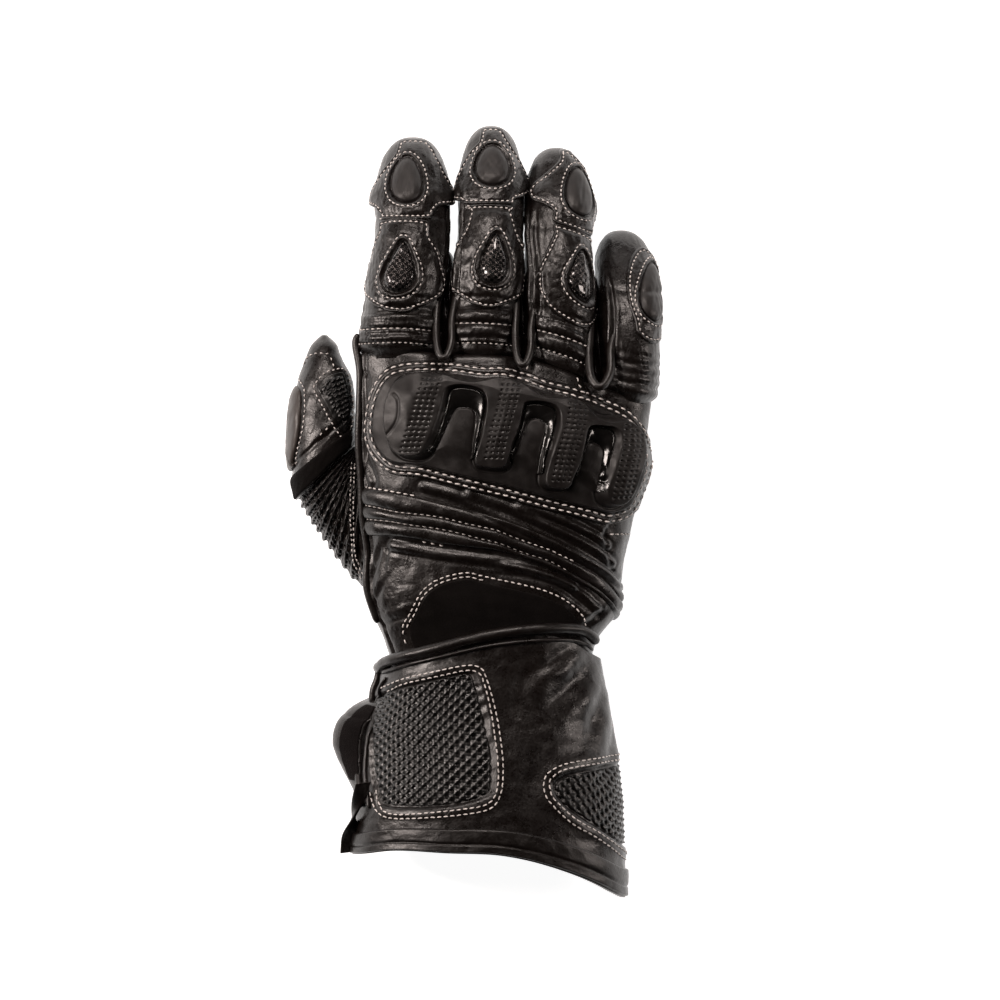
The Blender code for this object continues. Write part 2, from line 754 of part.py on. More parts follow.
def make_thumb():
    """The hollow thumb, open at its slanted base."""
    def inside(along, angle):
        point = thumb_point(min(along, 0.945), angle, -LEATHER)
        return Vector((point.x, point.y, max(point.z, LEATHER)))

    return hollow_tube(
        "thumb_stall",
        lambda along, angle: thumb_point(along, angle),
        inside,
        (0.0, 0.16, 0.32, 0.48, 0.62, 0.75, 0.86, 0.94, 0.985),
        FINGER_SIDES,
        leather(),
        True,
    )


def make_gusset():
    """The pleated gusset between thumb and palm, trimmed where it meets the hand."""
    gusset = hollow_tube(
        "thumb_gusset",
        lambda along, angle: gusset_point(along, angle, pleat(along)),
        lambda along, angle: gusset_point(along, angle, pleat(along) - GUSSET_WALL),
        spread(0.0, 1.0, 2 * PLEATS + 1),
        FINGER_SIDES,
        leather(),
    )
    cut(gusset, hand_envelope())
    return gusset


def make_thumb_trim():
    """The slider on the outer side of the thumb and the mesh patch on its inner side."""
    rows, columns = 7, 5
    shares, sides = spread(0.0, 1.0, rows), spread(-1.0, 1.0, columns)

    def slider_place(i, j, lift):
        along = 0.16 + 0.56 * shares[i]
        half = follow(TEARDROP, "value", shares[i]) * 34
        return thumb_point(along, math.radians(156 - half * sides[j]), lift)

    def slider_rise(i, j):
        return PAD_FOOT + 0.6 * PAD_RISE * dome(sides[j], shares[i])

    sheet("thumb_slider", slider_place, rows, columns, slider_rise, pad_rubber())

    def patch_place(i, j, lift):
        along = 0.06 + 0.66 * shares[i]
        half = 24 * math.sin(math.pi * (0.16 + 0.68 * shares[i]))
        return thumb_point(along, math.radians(62 - half * sides[j]), lift)

    sheet(
        "thumb_mesh_patch", patch_place, rows, 5, lambda _i, _j: PANEL_THICK, grip_mesh()
    )


def guard_plan(across, along, grow=0.0):
    """A place of the guard's outline pattern, from shares of its own half length and half height."""
    x, y = across * (GUARD_LENGTH / 2 + grow), along * (GUARD_HEIGHT / 2 + grow)
    c, s = math.cos(GUARD_SLANT), math.sin(GUARD_SLANT)
    return GUARD_ACROSS + c * x - s * y, GUARD_ALONG + s * x + c * y


def make_guard():
    """The moulded knuckle guard with its raised body and its three U-shaped slots."""
    rows, columns = 7, 23
    sides = even_arcs(-0.992, 0.992, columns, lambda u: hand_top(*guard_plan(u, 0.0)))
    heights = (-1.0, -0.86, -0.5, 0.0, 0.5, 0.86, 1.0)

    def place(i, j, lift):
        bow = (1 - abs(sides[j]) ** GUARD_SQUARE) ** (1 / GUARD_SQUARE)
        x, y = guard_plan(sides[j], heights[i] * bow)
        return hand_top(x, y, lift)

    def thickness(i, j):
        bow = (1 - abs(sides[j]) ** GUARD_SQUARE) ** (1 / GUARD_SQUARE)
        room = (1 - abs(heights[i])) * bow * GUARD_HEIGHT / 2
        end = (1 - abs(sides[j])) * GUARD_LENGTH / 2
        body = ease(0.0012, 0.0060, room) * ease(0.0020, 0.0085, end)
        lobes = 1 - 0.16 * (0.5 - 0.5 * math.cos(2 * math.pi * (sides[j] + 0.95) / 0.56))
        return GUARD_RIM + GUARD_DOME * body * lobes

    guard = sheet("knuckle_guard", place, rows, columns, thickness, guard_plastic())
    for slot in SLOTS:
        cut(guard, slot_cutter(slot))
    return guard


def slot_cutter(slot):
    """The space of one slot, as a cutter that follows the back of the hand."""
    c, s = math.cos(SLOT_LEAN), math.sin(SLOT_LEAN)

    def plan(across, down):
        x, y = across * SLOT_WIDTH / 2 * slot.width, -down * SLOT_LENGTH
        return slot.across + c * x - s * y, slot.along + s * x + c * y

    floor = LAY_GAP + GUARD_RIM + GUARD_DOME - GUARD_SLOT_DEPTH
    places = []
    for row in SLOT_PATH:
        places.append(plan(row.outer_across, row.outer_down))
        places.append(plan(row.inner_across, row.inner_down))
    bottom = [hand_top(x, y, floor) for x, y in places]
    top = [p + Vector((0, 0, 0.012)) for p in bottom]
    return two_sided(slot.name, bottom, top, len(SLOT_PATH), 2, guard_plastic())


def make_surround():
    """The leather frame round the knuckle guard."""
    columns = 40

    def outline(angle, grow):
        across, along = oval(angle, GUARD_SQUARE, GUARD_SQUARE)
        return guard_plan(across, along, grow)

    turns = even_arcs(0.0, 2 * math.pi, columns + 1, lambda g: hand_top(*outline(g, 0.0)))

    def place(i, j, lift):
        return hand_top(*outline(turns[j], (3 * SEAM_GAP, SURROUND_WIDTH)[i]), lift)

    return sheet(
        "guard_surround", place, 2, columns, lambda _i, _j: SURROUND_THICK, leather(), True
    )


def plan_sheet(name, table, rows, columns, thickness, finish):
    """A sheet on the back of the hand, with its low and high edges given across the palm."""
    shares = spread(0.0, 1.0, rows)

    def middle(across):
        y = (follow(table, "low", across) + follow(table, "high", across)) / 2 * HAND_LENGTH
        return hand_top(across * HAND_WIDTH, y)

    acrosses = even_arcs(table[0].along, table[-1].along, columns, middle)

    def place(i, j, lift):
        low = follow(table, "low", acrosses[j])
        high = follow(table, "high", acrosses[j])
        y = (low + (high - low) * shares[i]) * HAND_LENGTH
        return hand_top(acrosses[j] * HAND_WIDTH, y, lift)

    return sheet(name, place, rows, columns, thickness, finish)


def make_back_trim():
    """The ribbed panel and the suede patch on the back of the hand."""
    def ribbed(i, _j):
        return RIB_FOOT + RIB_RISE * (0.0, 0.75, 1.0, 0.75)[i % 4]

    plan_sheet("back_ribs", BACK_RIBS, 13, 11, ribbed, leather())
    plan_sheet("wrist_patch", SUEDE_PATCH, 5, 10, lambda _i, _j: PANEL_THICK, suede())


def welt(name, path, radius, finish, closed=False, sides=6):
    """A round cord along a path of points."""
    count = len(path)
    points = []
    for k in range(count):
        before = path[(k - 1) % count] if closed or k > 0 else path[0]
        after = path[(k + 1) % count] if closed or k < count - 1 else path[-1]
        ahead = (after - before).normalized()
        side = ahead.cross(Vector((0, 0, 1)))
        side = side.normalized() if side.length > 0.05 else Vector((1, 0, 0))
        up = side.cross(ahead)
        for n in range(sides):
            turn = 2 * math.pi * n / sides
            points.append(path[k] + radius * (math.cos(turn) * side + math.sin(turn) * up))
    faces = ring_faces(count, sides)
    last = (count - 1) * sides
    if closed:
        for n in range(sides):
            m = (n + 1) % sides
            faces.append((last + n, last + m, m, n))
    else:
        faces.append(tuple(range(sides)))
        faces.append(tuple(last + sides - 1 - n for n in range(sides)))
    return mesh_object(name, points, faces, finish, True)


def make_cuff():
    """The flared cuff with its piping, hem band and grip patches."""
    alongs = (0.0, 0.14, 0.30, 0.48, 0.66, 0.84, 1.0)

    def inside(along, angle):
        point = cuff_point(along, angle, -CUFF_WALL)
        return Vector((point.x, point.y, max(point.z, CUFF_WALL)))

    hollow_tube("cuff", cuff_point, inside, alongs, CUFF_SIDES, leather())
    brim = -(PIPING_RADIUS + SEAM_GAP) / CUFF_LENGTH
    edge = [cuff_point(brim, math.radians(g), -CUFF_WALL / 2) for g in spread(-26, 136, 20)]
    welt("cuff_piping", edge, PIPING_RADIUS, leather())
    edge = [
        cuff_point(a, math.radians(follow(WRAP_EDGE, "value", a)), LAY_GAP + PIPING_RADIUS)
        for a in spread(0.05, 0.84, 11)
    ]
    welt("wrap_piping", edge, PIPING_RADIUS, leather())

    def hem_place(i, j, rise):
        along = 0.998 - (0.0, HEM_WIDTH / CUFF_LENGTH)[i]
        return cuff_point(along, math.radians(spread(-28, 196, 30)[j]), rise)

    sheet("cuff_hem", hem_place, 2, 30, lambda _i, _j: HEM_THICK, leather())
    cuff_patch("left_cuff_patch", LEFT_PATCH, 7, 8)
    cuff_patch("right_cuff_patch", RIGHT_PATCH, 6, 8)


def cuff_patch(name, table, rows, columns):
    """An embossed patch on the cuff, with its edges given in degrees from +X."""
    alongs, shares = spread(table[0].along, table[-1].along, rows), spread(0.0, 1.0, columns)

    def place(i, j, lift):
        low = follow(table, "low", alongs[i])
        high = follow(table, "high", alongs[i])
        return cuff_point(alongs[i], math.radians(low + (high - low) * shares[j]), lift)

    return sheet(name, place, rows, columns, lambda _i, _j: PATCH_THICK, grip_mesh())


def flap_point(along, share, lift):
    """A point on the closing flap, from its foot on the cuff out and back up to its top edge."""
    foot, top = follow(FLAP_SECTIONS, "foot", along), follow(FLAP_SECTIONS, "top", along)
    base = cuff_point(along, math.radians(foot + (top - foot) * share), lift)
    reach = follow(FLAP_SECTIONS, "reach", along) * CUFF_WIDTH
    return base - Vector((reach * math.sin(math.pi * share), 0, 0))


def make_flap():
    """The closing flap under the wrap's edge and the loop strip on its upper face."""
    rows, columns = 7, 7
    alongs, shares = spread(0.19, 0.65, rows), spread(0.0, 1.0, columns)

    def place(i, j, lift):
        return flap_point(alongs[i], shares[j], lift)

    sheet("closing_flap", place, rows, columns, lambda _i, _j: FLAP_THICK, leather())
    strip_alongs, strip_shares = spread(0.23, 0.60, rows), spread(0.42, 0.90, 5)

    def strip_place(i, j, lift):
        return flap_point(strip_alongs[i], strip_shares[j], lift + FLAP_THICK + LAY_GAP)

    sheet("loop_strip", strip_place, rows, 5, lambda _i, _j: PILE_THICK, loop_pile())


def make_tab():
    """The pull tab at the lower end of the wrap."""
    rows = 7
    shares = spread(0.0, 1.0, rows)

    def place(i, j, lift):
        along = 0.68 + shares[i] * TAB_LENGTH / CUFF_LENGTH
        turn = 178 - 7 * shares[i]
        wide = math.degrees(TAB_WIDTH / (0.4 * CUFF_WIDTH))
        return cuff_point(along, math.radians(turn + wide * (j - 1) / 2), lift)

    return sheet("pull_tab", place, rows, 3, lambda _i, _j: TAB_THICK, leather())


def make_side_welt():
    """The corded seam down the thumb side of the back."""
    lift = LAY_GAP + WELT_RADIUS
    path = [hand_point(a, math.radians(166), lift) for a in spread(0.27, 0.97, 12)]
    return welt("side_welt", path, WELT_RADIUS, leather())


def settle():
    """Moves every mesh so that the bottom centre of the glove's box is on the origin."""
    graph = bpy.context.evaluated_depsgraph_get()
    shown = [o for o in bpy.data.objects if o.type == "MESH" and not o.hide_render]
    corners = [Vector(c) for o in shown for c in o.evaluated_get(graph).bound_box]
    low = Vector([min(c[i] for c in corners) for i in range(3)])
    high = Vector([max(c[i] for c in corners) for i in range(3)])
    move = Matrix.Translation((-(low.x + high.x) / 2, -(low.y + high.y) / 2, -low.z))
    for obj in bpy.data.objects:
        obj.data.transform(move)


def main():
    """Builds every piece of the glove."""
    for old in list(bpy.data.objects):
        bpy.data.objects.remove(old, do_unlink=True)
    make_hand()
    for finger in FINGERS:
        make_stall(finger)
        make_finger_trim(finger)
    index, middle, ring, little = FINGERS
    for pad in (
        Pad("tip_pad", index, 0.788, 0.0188, 0.0120, -9),
        Pad("tip_pad", middle, 0.818, 0.0164, 0.0126, 1),
        Pad("tip_pad", ring, 0.795, 0.0192, 0.0128, 34),
        Pad("side_pad", little, 0.626, 0.0228, 0.0124, 49),
    ):
        make_pad(pad, pad_rubber())
    for pad in (
        Pad("carbon_slider", index, 0.387, 0.0204, 0.0120, -9),
        Pad("carbon_slider", middle, 0.420, 0.0198, 0.0110, 7),
        Pad("carbon_slider", ring, 0.420, 0.0190, 0.0112, 32),
    ):
        make_pad(pad, carbon())
    make_thumb()
    make_gusset()
    make_thumb_trim()
    make_guard()
    make_surround()
    make_back_trim()
    make_side_welt()
    make_cuff()
    make_flap()
    make_tab()
    settle()


main()
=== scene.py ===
"""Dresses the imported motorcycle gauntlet: leather, panels, pads, guard, cuff and every stitch.

Patterns are drawn as the glove is cut: X across the palm, Y along the fingers from the wrist line
and Z up from the ground, in millimetres. Each tube of leather is a Skin, and everything sewn on a
skin is drawn in its cloth coordinates: v along the tube and w round it from its top.
"""

from abc import ABC, abstractmethod
from dataclasses import dataclass, field
from enum import Enum
import logging
import math
from typing import Callable, Optional, Sequence, Union

import bmesh
import bpy
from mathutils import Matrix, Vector
import numpy as np


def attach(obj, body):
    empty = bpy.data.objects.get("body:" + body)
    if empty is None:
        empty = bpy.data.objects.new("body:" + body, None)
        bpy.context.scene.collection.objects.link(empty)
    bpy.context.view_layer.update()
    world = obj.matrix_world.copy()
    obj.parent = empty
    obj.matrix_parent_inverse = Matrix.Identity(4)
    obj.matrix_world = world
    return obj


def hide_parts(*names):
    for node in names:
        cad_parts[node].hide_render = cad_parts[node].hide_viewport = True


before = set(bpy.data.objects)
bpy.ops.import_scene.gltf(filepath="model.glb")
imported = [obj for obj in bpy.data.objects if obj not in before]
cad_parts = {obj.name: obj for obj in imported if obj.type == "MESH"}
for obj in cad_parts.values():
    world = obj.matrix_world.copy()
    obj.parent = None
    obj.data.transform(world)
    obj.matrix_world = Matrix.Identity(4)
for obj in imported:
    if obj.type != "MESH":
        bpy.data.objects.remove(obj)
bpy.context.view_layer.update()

LOG = logging.getLogger("gauntlet")
MM = 0.001
SHIFT = np.array((13.0, -50.3, 0.0))
BODY = "root"

Array = np.ndarray
Rows = tuple[tuple[float, ...], ...]
Colour = tuple[float, float, float]
Place = tuple[float, float, float]
Socket = bpy.types.NodeSocket
Value = Union[float, bpy.types.NodeSocket]
Height = Callable[[Array, Array, Array], Array]
Lift = float | Callable[[Array, Array], Array]


@dataclass(frozen=True)
class Table:
    """A short table whose first column says how far along each row stands.

    Args:
        columns: names of the columns.
        rows: the rows, in order of their first column.
    """

    columns: tuple[str, ...]
    rows: Rows

    def read(self, column: str, at: Array) -> Array:
        """Cubic through the rows: Hermite pieces whose slopes are the central differences.

        Args:
            column: the column to read.
            at: places along the table.

        Returns:
            The column's value at each place, held level past both ends.
        """
        data = np.array(self.rows, float)
        x, y = data[:, 0], data[:, self.columns.index(column)]
        slopes = np.gradient(y, x)
        at = np.clip(np.asarray(at, float), x[0], x[-1])
        i = np.clip(np.searchsorted(x, at) - 1, 0, len(x) - 2)
        span = x[i + 1] - x[i]
        u = (at - x[i]) / span
        return (
            (2 * u**3 - 3 * u**2 + 1) * y[i]
            + (u**3 - 2 * u**2 + u) * span * slopes[i]
            + (3 * u**2 - 2 * u**3) * y[i + 1]
            + (u**3 - u**2) * span * slopes[i + 1]
        )


def ease(low: float, high: float, value: Array) -> Array:
    """Smooth step: 3u^2 - 2u^3 of the share of the way from low to high, held at both ends."""
    u = np.clip((np.asarray(value, float) - low) / (high - low), 0.0, 1.0)
    return u * u * (3 - 2 * u)


def bell(value: Array, width: float) -> Array:
    """Gaussian bell: e to the minus square of value over width."""
    return np.exp(-((np.asarray(value, float) / width) ** 2))


def rounded(depth: Array, radius: float) -> Array:
    """Quarter circle: the root of 1 - (1 - depth/radius)^2, from 0 at the edge to 1."""
    u = 1 - np.clip(np.asarray(depth, float) / radius, 0.0, 1.0)
    return np.sqrt(1 - u * u)


def oval(angle: Array, upper: float, lower: float) -> tuple[Array, Array]:
    """Superellipse with one squareness above its middle and another below.

    Args:
        angle: angles from +X, in radians.
        upper: squareness above.
        lower: squareness below.

    Returns:
        Across and up: the angle's cosine and sine, each to the power of 2 over the squareness.
    """
    c, s = np.cos(angle), np.sin(angle)
    power = np.where(s >= 0, 2.0 / upper, 2.0 / lower)
    return np.sign(c) * np.abs(c) ** power, np.sign(s) * np.abs(s) ** power


def ripple(x: Array, y: Array, scale: float, seed: int) -> Array:
    """Soft unevenness: the sum of twelve sine waves of seeded directions, lengths and phases.

    Args:
        x: first coordinate.
        y: second coordinate.
        scale: typical wave length, in the coordinates' own units.
        seed: seed of the waves.

    Returns:
        Heights of about -1 to 1.
    """
    rng = np.random.default_rng(seed)
    total = np.zeros(np.broadcast(x, y).shape)
    for _ in range(12):
        turn = rng.uniform(0, 2 * np.pi)
        length = scale * rng.uniform(0.6, 1.8)
        phase = rng.uniform(0, 2 * np.pi)
        total += np.sin(2 * np.pi * (x * np.cos(turn) + y * np.sin(turn)) / length + phase)
    return total / 5.0


def even_steps(curve: Array, step: float) -> Array:
    """A polyline read at equal steps of its length, by linear interpolation on the length.

    Args:
        curve: the polyline's points.
        step: wanted distance between samples.

    Returns:
        The samples, with both ends.
    """
    lengths = np.concatenate(([0.0], np.cumsum(np.linalg.norm(np.diff(curve, axis=0), axis=1))))
    count = max(3, int(round(lengths[-1] / step)) + 1)
    at = np.linspace(0, lengths[-1], count)
    return np.stack([np.interp(at, lengths, curve[:, k]) for k in range(curve.shape[1])], -1)


def smooth(points: Sequence, step: float, closed: bool = False) -> Array:
    """Catmull-Rom curve through guide points, read at equal steps of its length.

    Args:
        points: guide points, one row each.
        step: wanted distance between samples.
        closed: whether the curve comes back to its start.

    Returns:
        The samples. A closed curve doesn't repeat its first.
    """
    p = np.asarray(points, float)
    ends = np.vstack((p[-1:], p, p[:2])) if closed else np.vstack((2 * p[0] - p[1], p, 2 * p[-1] - p[-2]))
    u = np.linspace(0, 1, 24, endpoint=False)[:, None, None]
    a, b, c, d = ends[:-3], ends[1:-2], ends[2:-1], ends[3:]
    curve = 0.5 * (
        2 * b + (c - a) * u + (2 * a - 5 * b + 4 * c - d) * u**2 + (3 * b - a - 3 * c + d) * u**3
    )
    curve = curve.transpose(1, 0, 2).reshape(-1, p.shape[1])
    if closed:
        return even_steps(np.vstack((curve, curve[:1])), step)[:-1]
    return even_steps(np.vstack((curve, p[-1:])), step)


def inset(loop: Array, distance: float) -> Array:
    """A closed loop moved inwards along its normals, then evened by a short running mean.

    Args:
        loop: the closed outline.
        distance: how far to move in, or out where it is negative.

    Returns:
        As many points as the outline has.
    """
    moved = loop
    parts = max(1, int(abs(distance) / 0.5))
    for _ in range(parts):
        ahead = np.roll(moved, -1, 0) - np.roll(moved, 1, 0)
        ahead /= np.linalg.norm(ahead, axis=1, keepdims=True) + 1e-12
        x, y = moved[:, 0], moved[:, 1]
        side = np.sign(np.sum(x * np.roll(y, -1) - np.roll(x, -1) * y))
        moved = moved + np.stack((-ahead[:, 1], ahead[:, 0]), -1) * side * distance / parts
        moved = 0.25 * np.roll(moved, 1, 0) + 0.5 * moved + 0.25 * np.roll(moved, -1, 0)
    return moved


def distance_to(path: Array, x: Array, y: Array, closed: bool = False) -> Array:
    """Distance of points to a polyline: the least over its edges.

    Args:
        path: the polyline's points.
        x: first coordinates.
        y: second coordinates.
        closed: whether the last point joins the first.

    Returns:
        The distance at each point.
    """
    shape = np.broadcast(x, y).shape
    flat = np.stack([np.ravel(n) for n in np.broadcast_arrays(x, y)], -1)
    starts = path if closed else path[:-1]
    ends = np.roll(path, -1, 0) if closed else path[1:]
    best = np.full(len(flat), 1e9)
    for a, b in zip(starts, ends):
        edge = b - a
        u = np.clip(((flat - a) @ edge) / max(edge @ edge, 1e-12), 0, 1)
        best = np.minimum(best, np.sum((flat - a - u[:, None] * edge) ** 2, axis=1))
    return np.sqrt(best).reshape(shape)


def creases(x: Array, y: Array, rows: Rows, curl: float, rim: float, apart: float) -> Array:
    """Depth of short folds: a bell across each, less a second beside it for its raised rim.

    Args:
        x: first coordinates.
        y: second coordinates.
        rows: for each fold its middle, half length, turn in degrees, depth and width.
        curl: how much a fold bends towards its ends.
        rim: height of the rim, as a share of the depth.
        apart: how far the rim lies from the fold, in widths of it.

    Returns:
        The depth at each point, in the rows' own units.
    """
    total = np.zeros(np.broadcast(x, y).shape)
    for middle_x, middle_y, half, turn, depth, width in rows:
        dx, dy = x - middle_x, y - middle_y
        c, s = math.cos(math.radians(turn)), math.sin(math.radians(turn))
        run = c * dx + s * dy
        off = -s * dx + c * dy + curl * run**2 / half
        total += depth * bell(run, half) * (bell(off, width) - rim * bell(off - apart * width, width))
    return total


def inside_depth(x: Array, y: Array, loop: Array) -> Array:
    """Distance to a closed outline, positive inside it and negative outside.

    Args:
        x: first coordinates.
        y: second coordinates.
        loop: the outline's points.

    Returns:
        The least distance to the edges, signed by how often a ray to +X crosses them.
    """
    crossings = np.zeros(np.broadcast(x, y).shape, int)
    for a, b in zip(loop, np.roll(loop, -1, 0)):
        spans = (a[1] > y) != (b[1] > y)
        rise = b[1] - a[1] if abs(b[1] - a[1]) > 1e-12 else 1e-12
        crossings += spans & (x < a[0] + (y - a[1]) / rise * (b[0] - a[0]))
    return np.where(crossings % 2 == 1, 1.0, -1.0) * distance_to(loop, x, y, True)


class Nodes:
    """A short hand for building one material's node tree."""

    def __init__(self, name: str) -> None:
        """Makes the material with its Principled shader.

        Args:
            name: the material's name.
        """
        self.material = bpy.data.materials.new(name)
        self.material.use_nodes = True
        self.tree = self.material.node_tree
        self.shader = self.tree.nodes["Principled BSDF"]
        self.place = self.add("ShaderNodeTexCoord").outputs["Object"]

    def add(self, kind: str, inputs: Optional[dict] = None, **settings: object) -> bpy.types.Node:
        """Adds a node, sets its properties, and links or sets its inputs.

        Args:
            kind: Blender's name of the node.
            inputs: value or output socket of each input, by name or number.
            settings: the node's own properties.

        Returns:
            The new node.
        """
        node = self.tree.nodes.new(kind)
        for key, value in settings.items():
            setattr(node, key, value)
        for key, value in (inputs or {}).items():
            if isinstance(value, bpy.types.NodeSocket):
                self.tree.links.new(value, node.inputs[key])
            else:
                node.inputs[key].default_value = value
        return node

    def noise(
        self, scale: float, detail: float = 3.0, rough: float = 0.5, vector: Optional[Socket] = None
    ) -> Socket:
        """Noise of so many waves a metre, as a number from 0 to 1."""
        inputs = {"Vector": vector or self.place, "Scale": scale, "Detail": detail, "Roughness": rough}
        return self.add("ShaderNodeTexNoise", inputs).outputs["Fac"]

    def cells(self, scale: float, feature: str = "F1", spread: float = 1.0) -> Socket:
        """Distance in Voronoi cells, so many a metre."""
        inputs = {"Vector": self.place, "Scale": scale, "Randomness": spread}
        return self.add("ShaderNodeTexVoronoi", inputs, feature=feature).outputs["Distance"]

    def math(self, operation: str, a: Value, b: Value = 0.0, clamp: bool = False) -> Socket:
        """One step of arithmetic on numbers or sockets."""
        return self.add("ShaderNodeMath", {0: a, 1: b}, operation=operation, use_clamp=clamp).outputs[0]

    def between(self, value: Value, low: float, high: float, to_low: float, to_high: float) -> Socket:
        """Maps a number from one range to another, held at both ends."""
        inputs = {0: value, 1: low, 2: high, 3: to_low, 4: to_high}
        return self.add("ShaderNodeMapRange", inputs).outputs[0]

    def ramp(self, value: Value, colours: Sequence[tuple[float, Colour]]) -> Socket:
        """Colour read from a ramp of stops.

        Args:
            value: where to read it.
            colours: place and colour of each stop.

        Returns:
            The colour's socket.
        """
        node = self.add("ShaderNodeValToRGB", {0: value})
        stops = node.color_ramp.elements
        while len(stops) < len(colours):
            stops.new(0.5)
        for stop, (at, colour) in zip(stops, colours):
            stop.position, stop.color = at, (*colour, 1.0)
        return node.outputs["Color"]

    def bump(
        self, height: Value, distance: float, strength: float = 1.0, under: Optional[Socket] = None
    ) -> Socket:
        """Bump of a height, over another bump where one is given.

        Args:
            height: the height's socket.
            distance: height of the relief, in metres.
            strength: share of it that counts.
            under: the bump below it, if any.

        Returns:
            The normal's socket.
        """
        inputs = {"Height": height, "Distance": distance, "Strength": strength}
        if under is not None:
            inputs["Normal"] = under
        return self.add("ShaderNodeBump", inputs).outputs["Normal"]

    def finish(self, **sockets: object) -> bpy.types.Material:
        """Sets or links the shader's sockets, with spaces written as underscores.

        Args:
            sockets: value or socket for each.

        Returns:
            The material.
        """
        for name, value in sockets.items():
            socket = self.shader.inputs[name.replace("_", " ")]
            if isinstance(value, bpy.types.NodeSocket):
                self.tree.links.new(value, socket)
            else:
                socket.default_value = value
        return self.material


_MADE: dict[object, bpy.types.Material] = {}


@dataclass(frozen=True)
class Finish(ABC):
    """What a piece is made of.

    Args:
        name: the material's name.
        slot: the record's material slot that it belongs to; not used.
    """

    name: str = "finish"
    slot: str = "black_leather"

    @abstractmethod
    def build(self) -> bpy.types.Material:
        """Makes the material."""

    def material(self) -> bpy.types.Material:
        """The material, made once for each finish.

        Returns:
            The material.
        """
        if self not in _MADE:
            _MADE[self] = self.build()
        return _MADE[self]


@dataclass(frozen=True)
class Leather(Finish):
    """Black full-grain leather: pebbled cells, pores, soft wear and a satin coat of wax.

    Args:
        name: the material's name.
        colour: base colour of the dye.
        rough: middle roughness.
        grain: depth of the pebbles, in metres.
        pebbles: cells a metre.
        creases: depth of the fine directionless creases, in metres.
    """

    name: str = "leather"
    colour: Colour = (0.0030, 0.0019, 0.0015)
    rough: float = 0.30
    grain: float = 0.00006
    pebbles: float = 1150.0
    creases: float = 0.00010

    def build(self) -> bpy.types.Material:
        """Pebbles from two sizes of Voronoi cells, creases from stretched noise, wear from noise.

        Returns:
            The material.
        """
        n = Nodes(self.name)
        warp = n.add("ShaderNodeTexNoise", {"Vector": n.place, "Scale": 160.0, "Detail": 2.0})
        shifted = n.add(
            "ShaderNodeVectorMath",
            {0: warp.outputs["Color"], 1: (0.0022, 0.0022, 0.0022)},
            operation="MULTIPLY",
        )
        moved = n.add("ShaderNodeVectorMath", {0: n.place, 1: shifted.outputs[0]}, operation="ADD")
        cells = n.add(
            "ShaderNodeTexVoronoi",
            {"Vector": moved.outputs[0], "Scale": self.pebbles},
            feature="SMOOTH_F1",
        ).outputs["Distance"]
        fine = n.cells(self.pebbles * 2.6)
        pores = n.noise(5200.0, 2.0, 0.6)
        pebble = n.math("ADD", n.math("MULTIPLY", cells, 1.0), n.math("MULTIPLY", fine, 0.35))
        pebble = n.math("ADD", pebble, n.math("MULTIPLY", pores, 0.35))
        fold = n.noise(95.0, 6.0, 0.62, moved.outputs[0])
        fold = n.math("ABSOLUTE", n.math("SUBTRACT", fold, 0.5))
        fold = n.between(fold, 0.0, 0.09, 0.0, 1.0)
        broad = n.noise(38.0, 3.0, 0.5)
        wear = n.noise(210.0, 4.0, 0.6)
        dark, light = self.colour, tuple(c * 2.0 + 0.0006 for c in self.colour)
        tone = n.math("ADD", n.math("MULTIPLY", broad, 0.6), n.math("MULTIPLY", wear, 0.4))
        colour = n.ramp(tone, ((0.32, dark), (0.74, light)))
        worn, pebbled = n.between(wear, 0.3, 0.7, -0.06, 0.08), n.between(cells, 0.1, 0.7, -0.05, 0.09)
        rough = n.math("ADD", worn, pebbled)
        rough = n.math("ADD", rough, self.rough, True)
        under = n.bump(fold, self.creases, 0.55)
        normal = n.bump(n.math("SUBTRACT", 1.0, pebble), self.grain, 0.85, under)
        return n.finish(
            Base_Color=colour,
            Roughness=rough,
            Normal=normal,
            Specular_IOR_Level=0.46,
            Coat_Weight=0.10,
            Coat_Roughness=0.26,
        )


@dataclass(frozen=True)
class Plastic(Finish):
    """Moulded plastic or rubber: an even colour with a fine spark-eroded texture.

    Args:
        name: the material's name.
        slot: the record's material slot that it belongs to; not used.
        colour: base colour.
        rough: roughness.
        texture: depth of the texture, in metres.
        level: specular level.
    """

    name: str = "plastic"
    slot: str = "guard_plastic"
    colour: Colour = (0.0062, 0.0050, 0.0046)
    rough: float = 0.40
    texture: float = 0.00003
    level: float = 0.5

    def build(self) -> bpy.types.Material:
        """Fine noise for the texture, broad noise for handling marks.

        Returns:
            The material.
        """
        n = Nodes(self.name)
        fine = n.noise(6500.0, 2.0, 0.6)
        marks = n.noise(260.0, 5.0, 0.65)
        lighter = tuple(c * 1.35 + 0.001 for c in self.colour)
        rough = n.math("ADD", n.between(marks, 0.35, 0.7, -0.05, 0.10), self.rough, True)
        return n.finish(
            Base_Color=n.ramp(marks, ((0.3, self.colour), (0.75, lighter))),
            Roughness=rough,
            Normal=n.bump(fine, self.texture, 0.8),
            Specular_IOR_Level=self.level,
        )


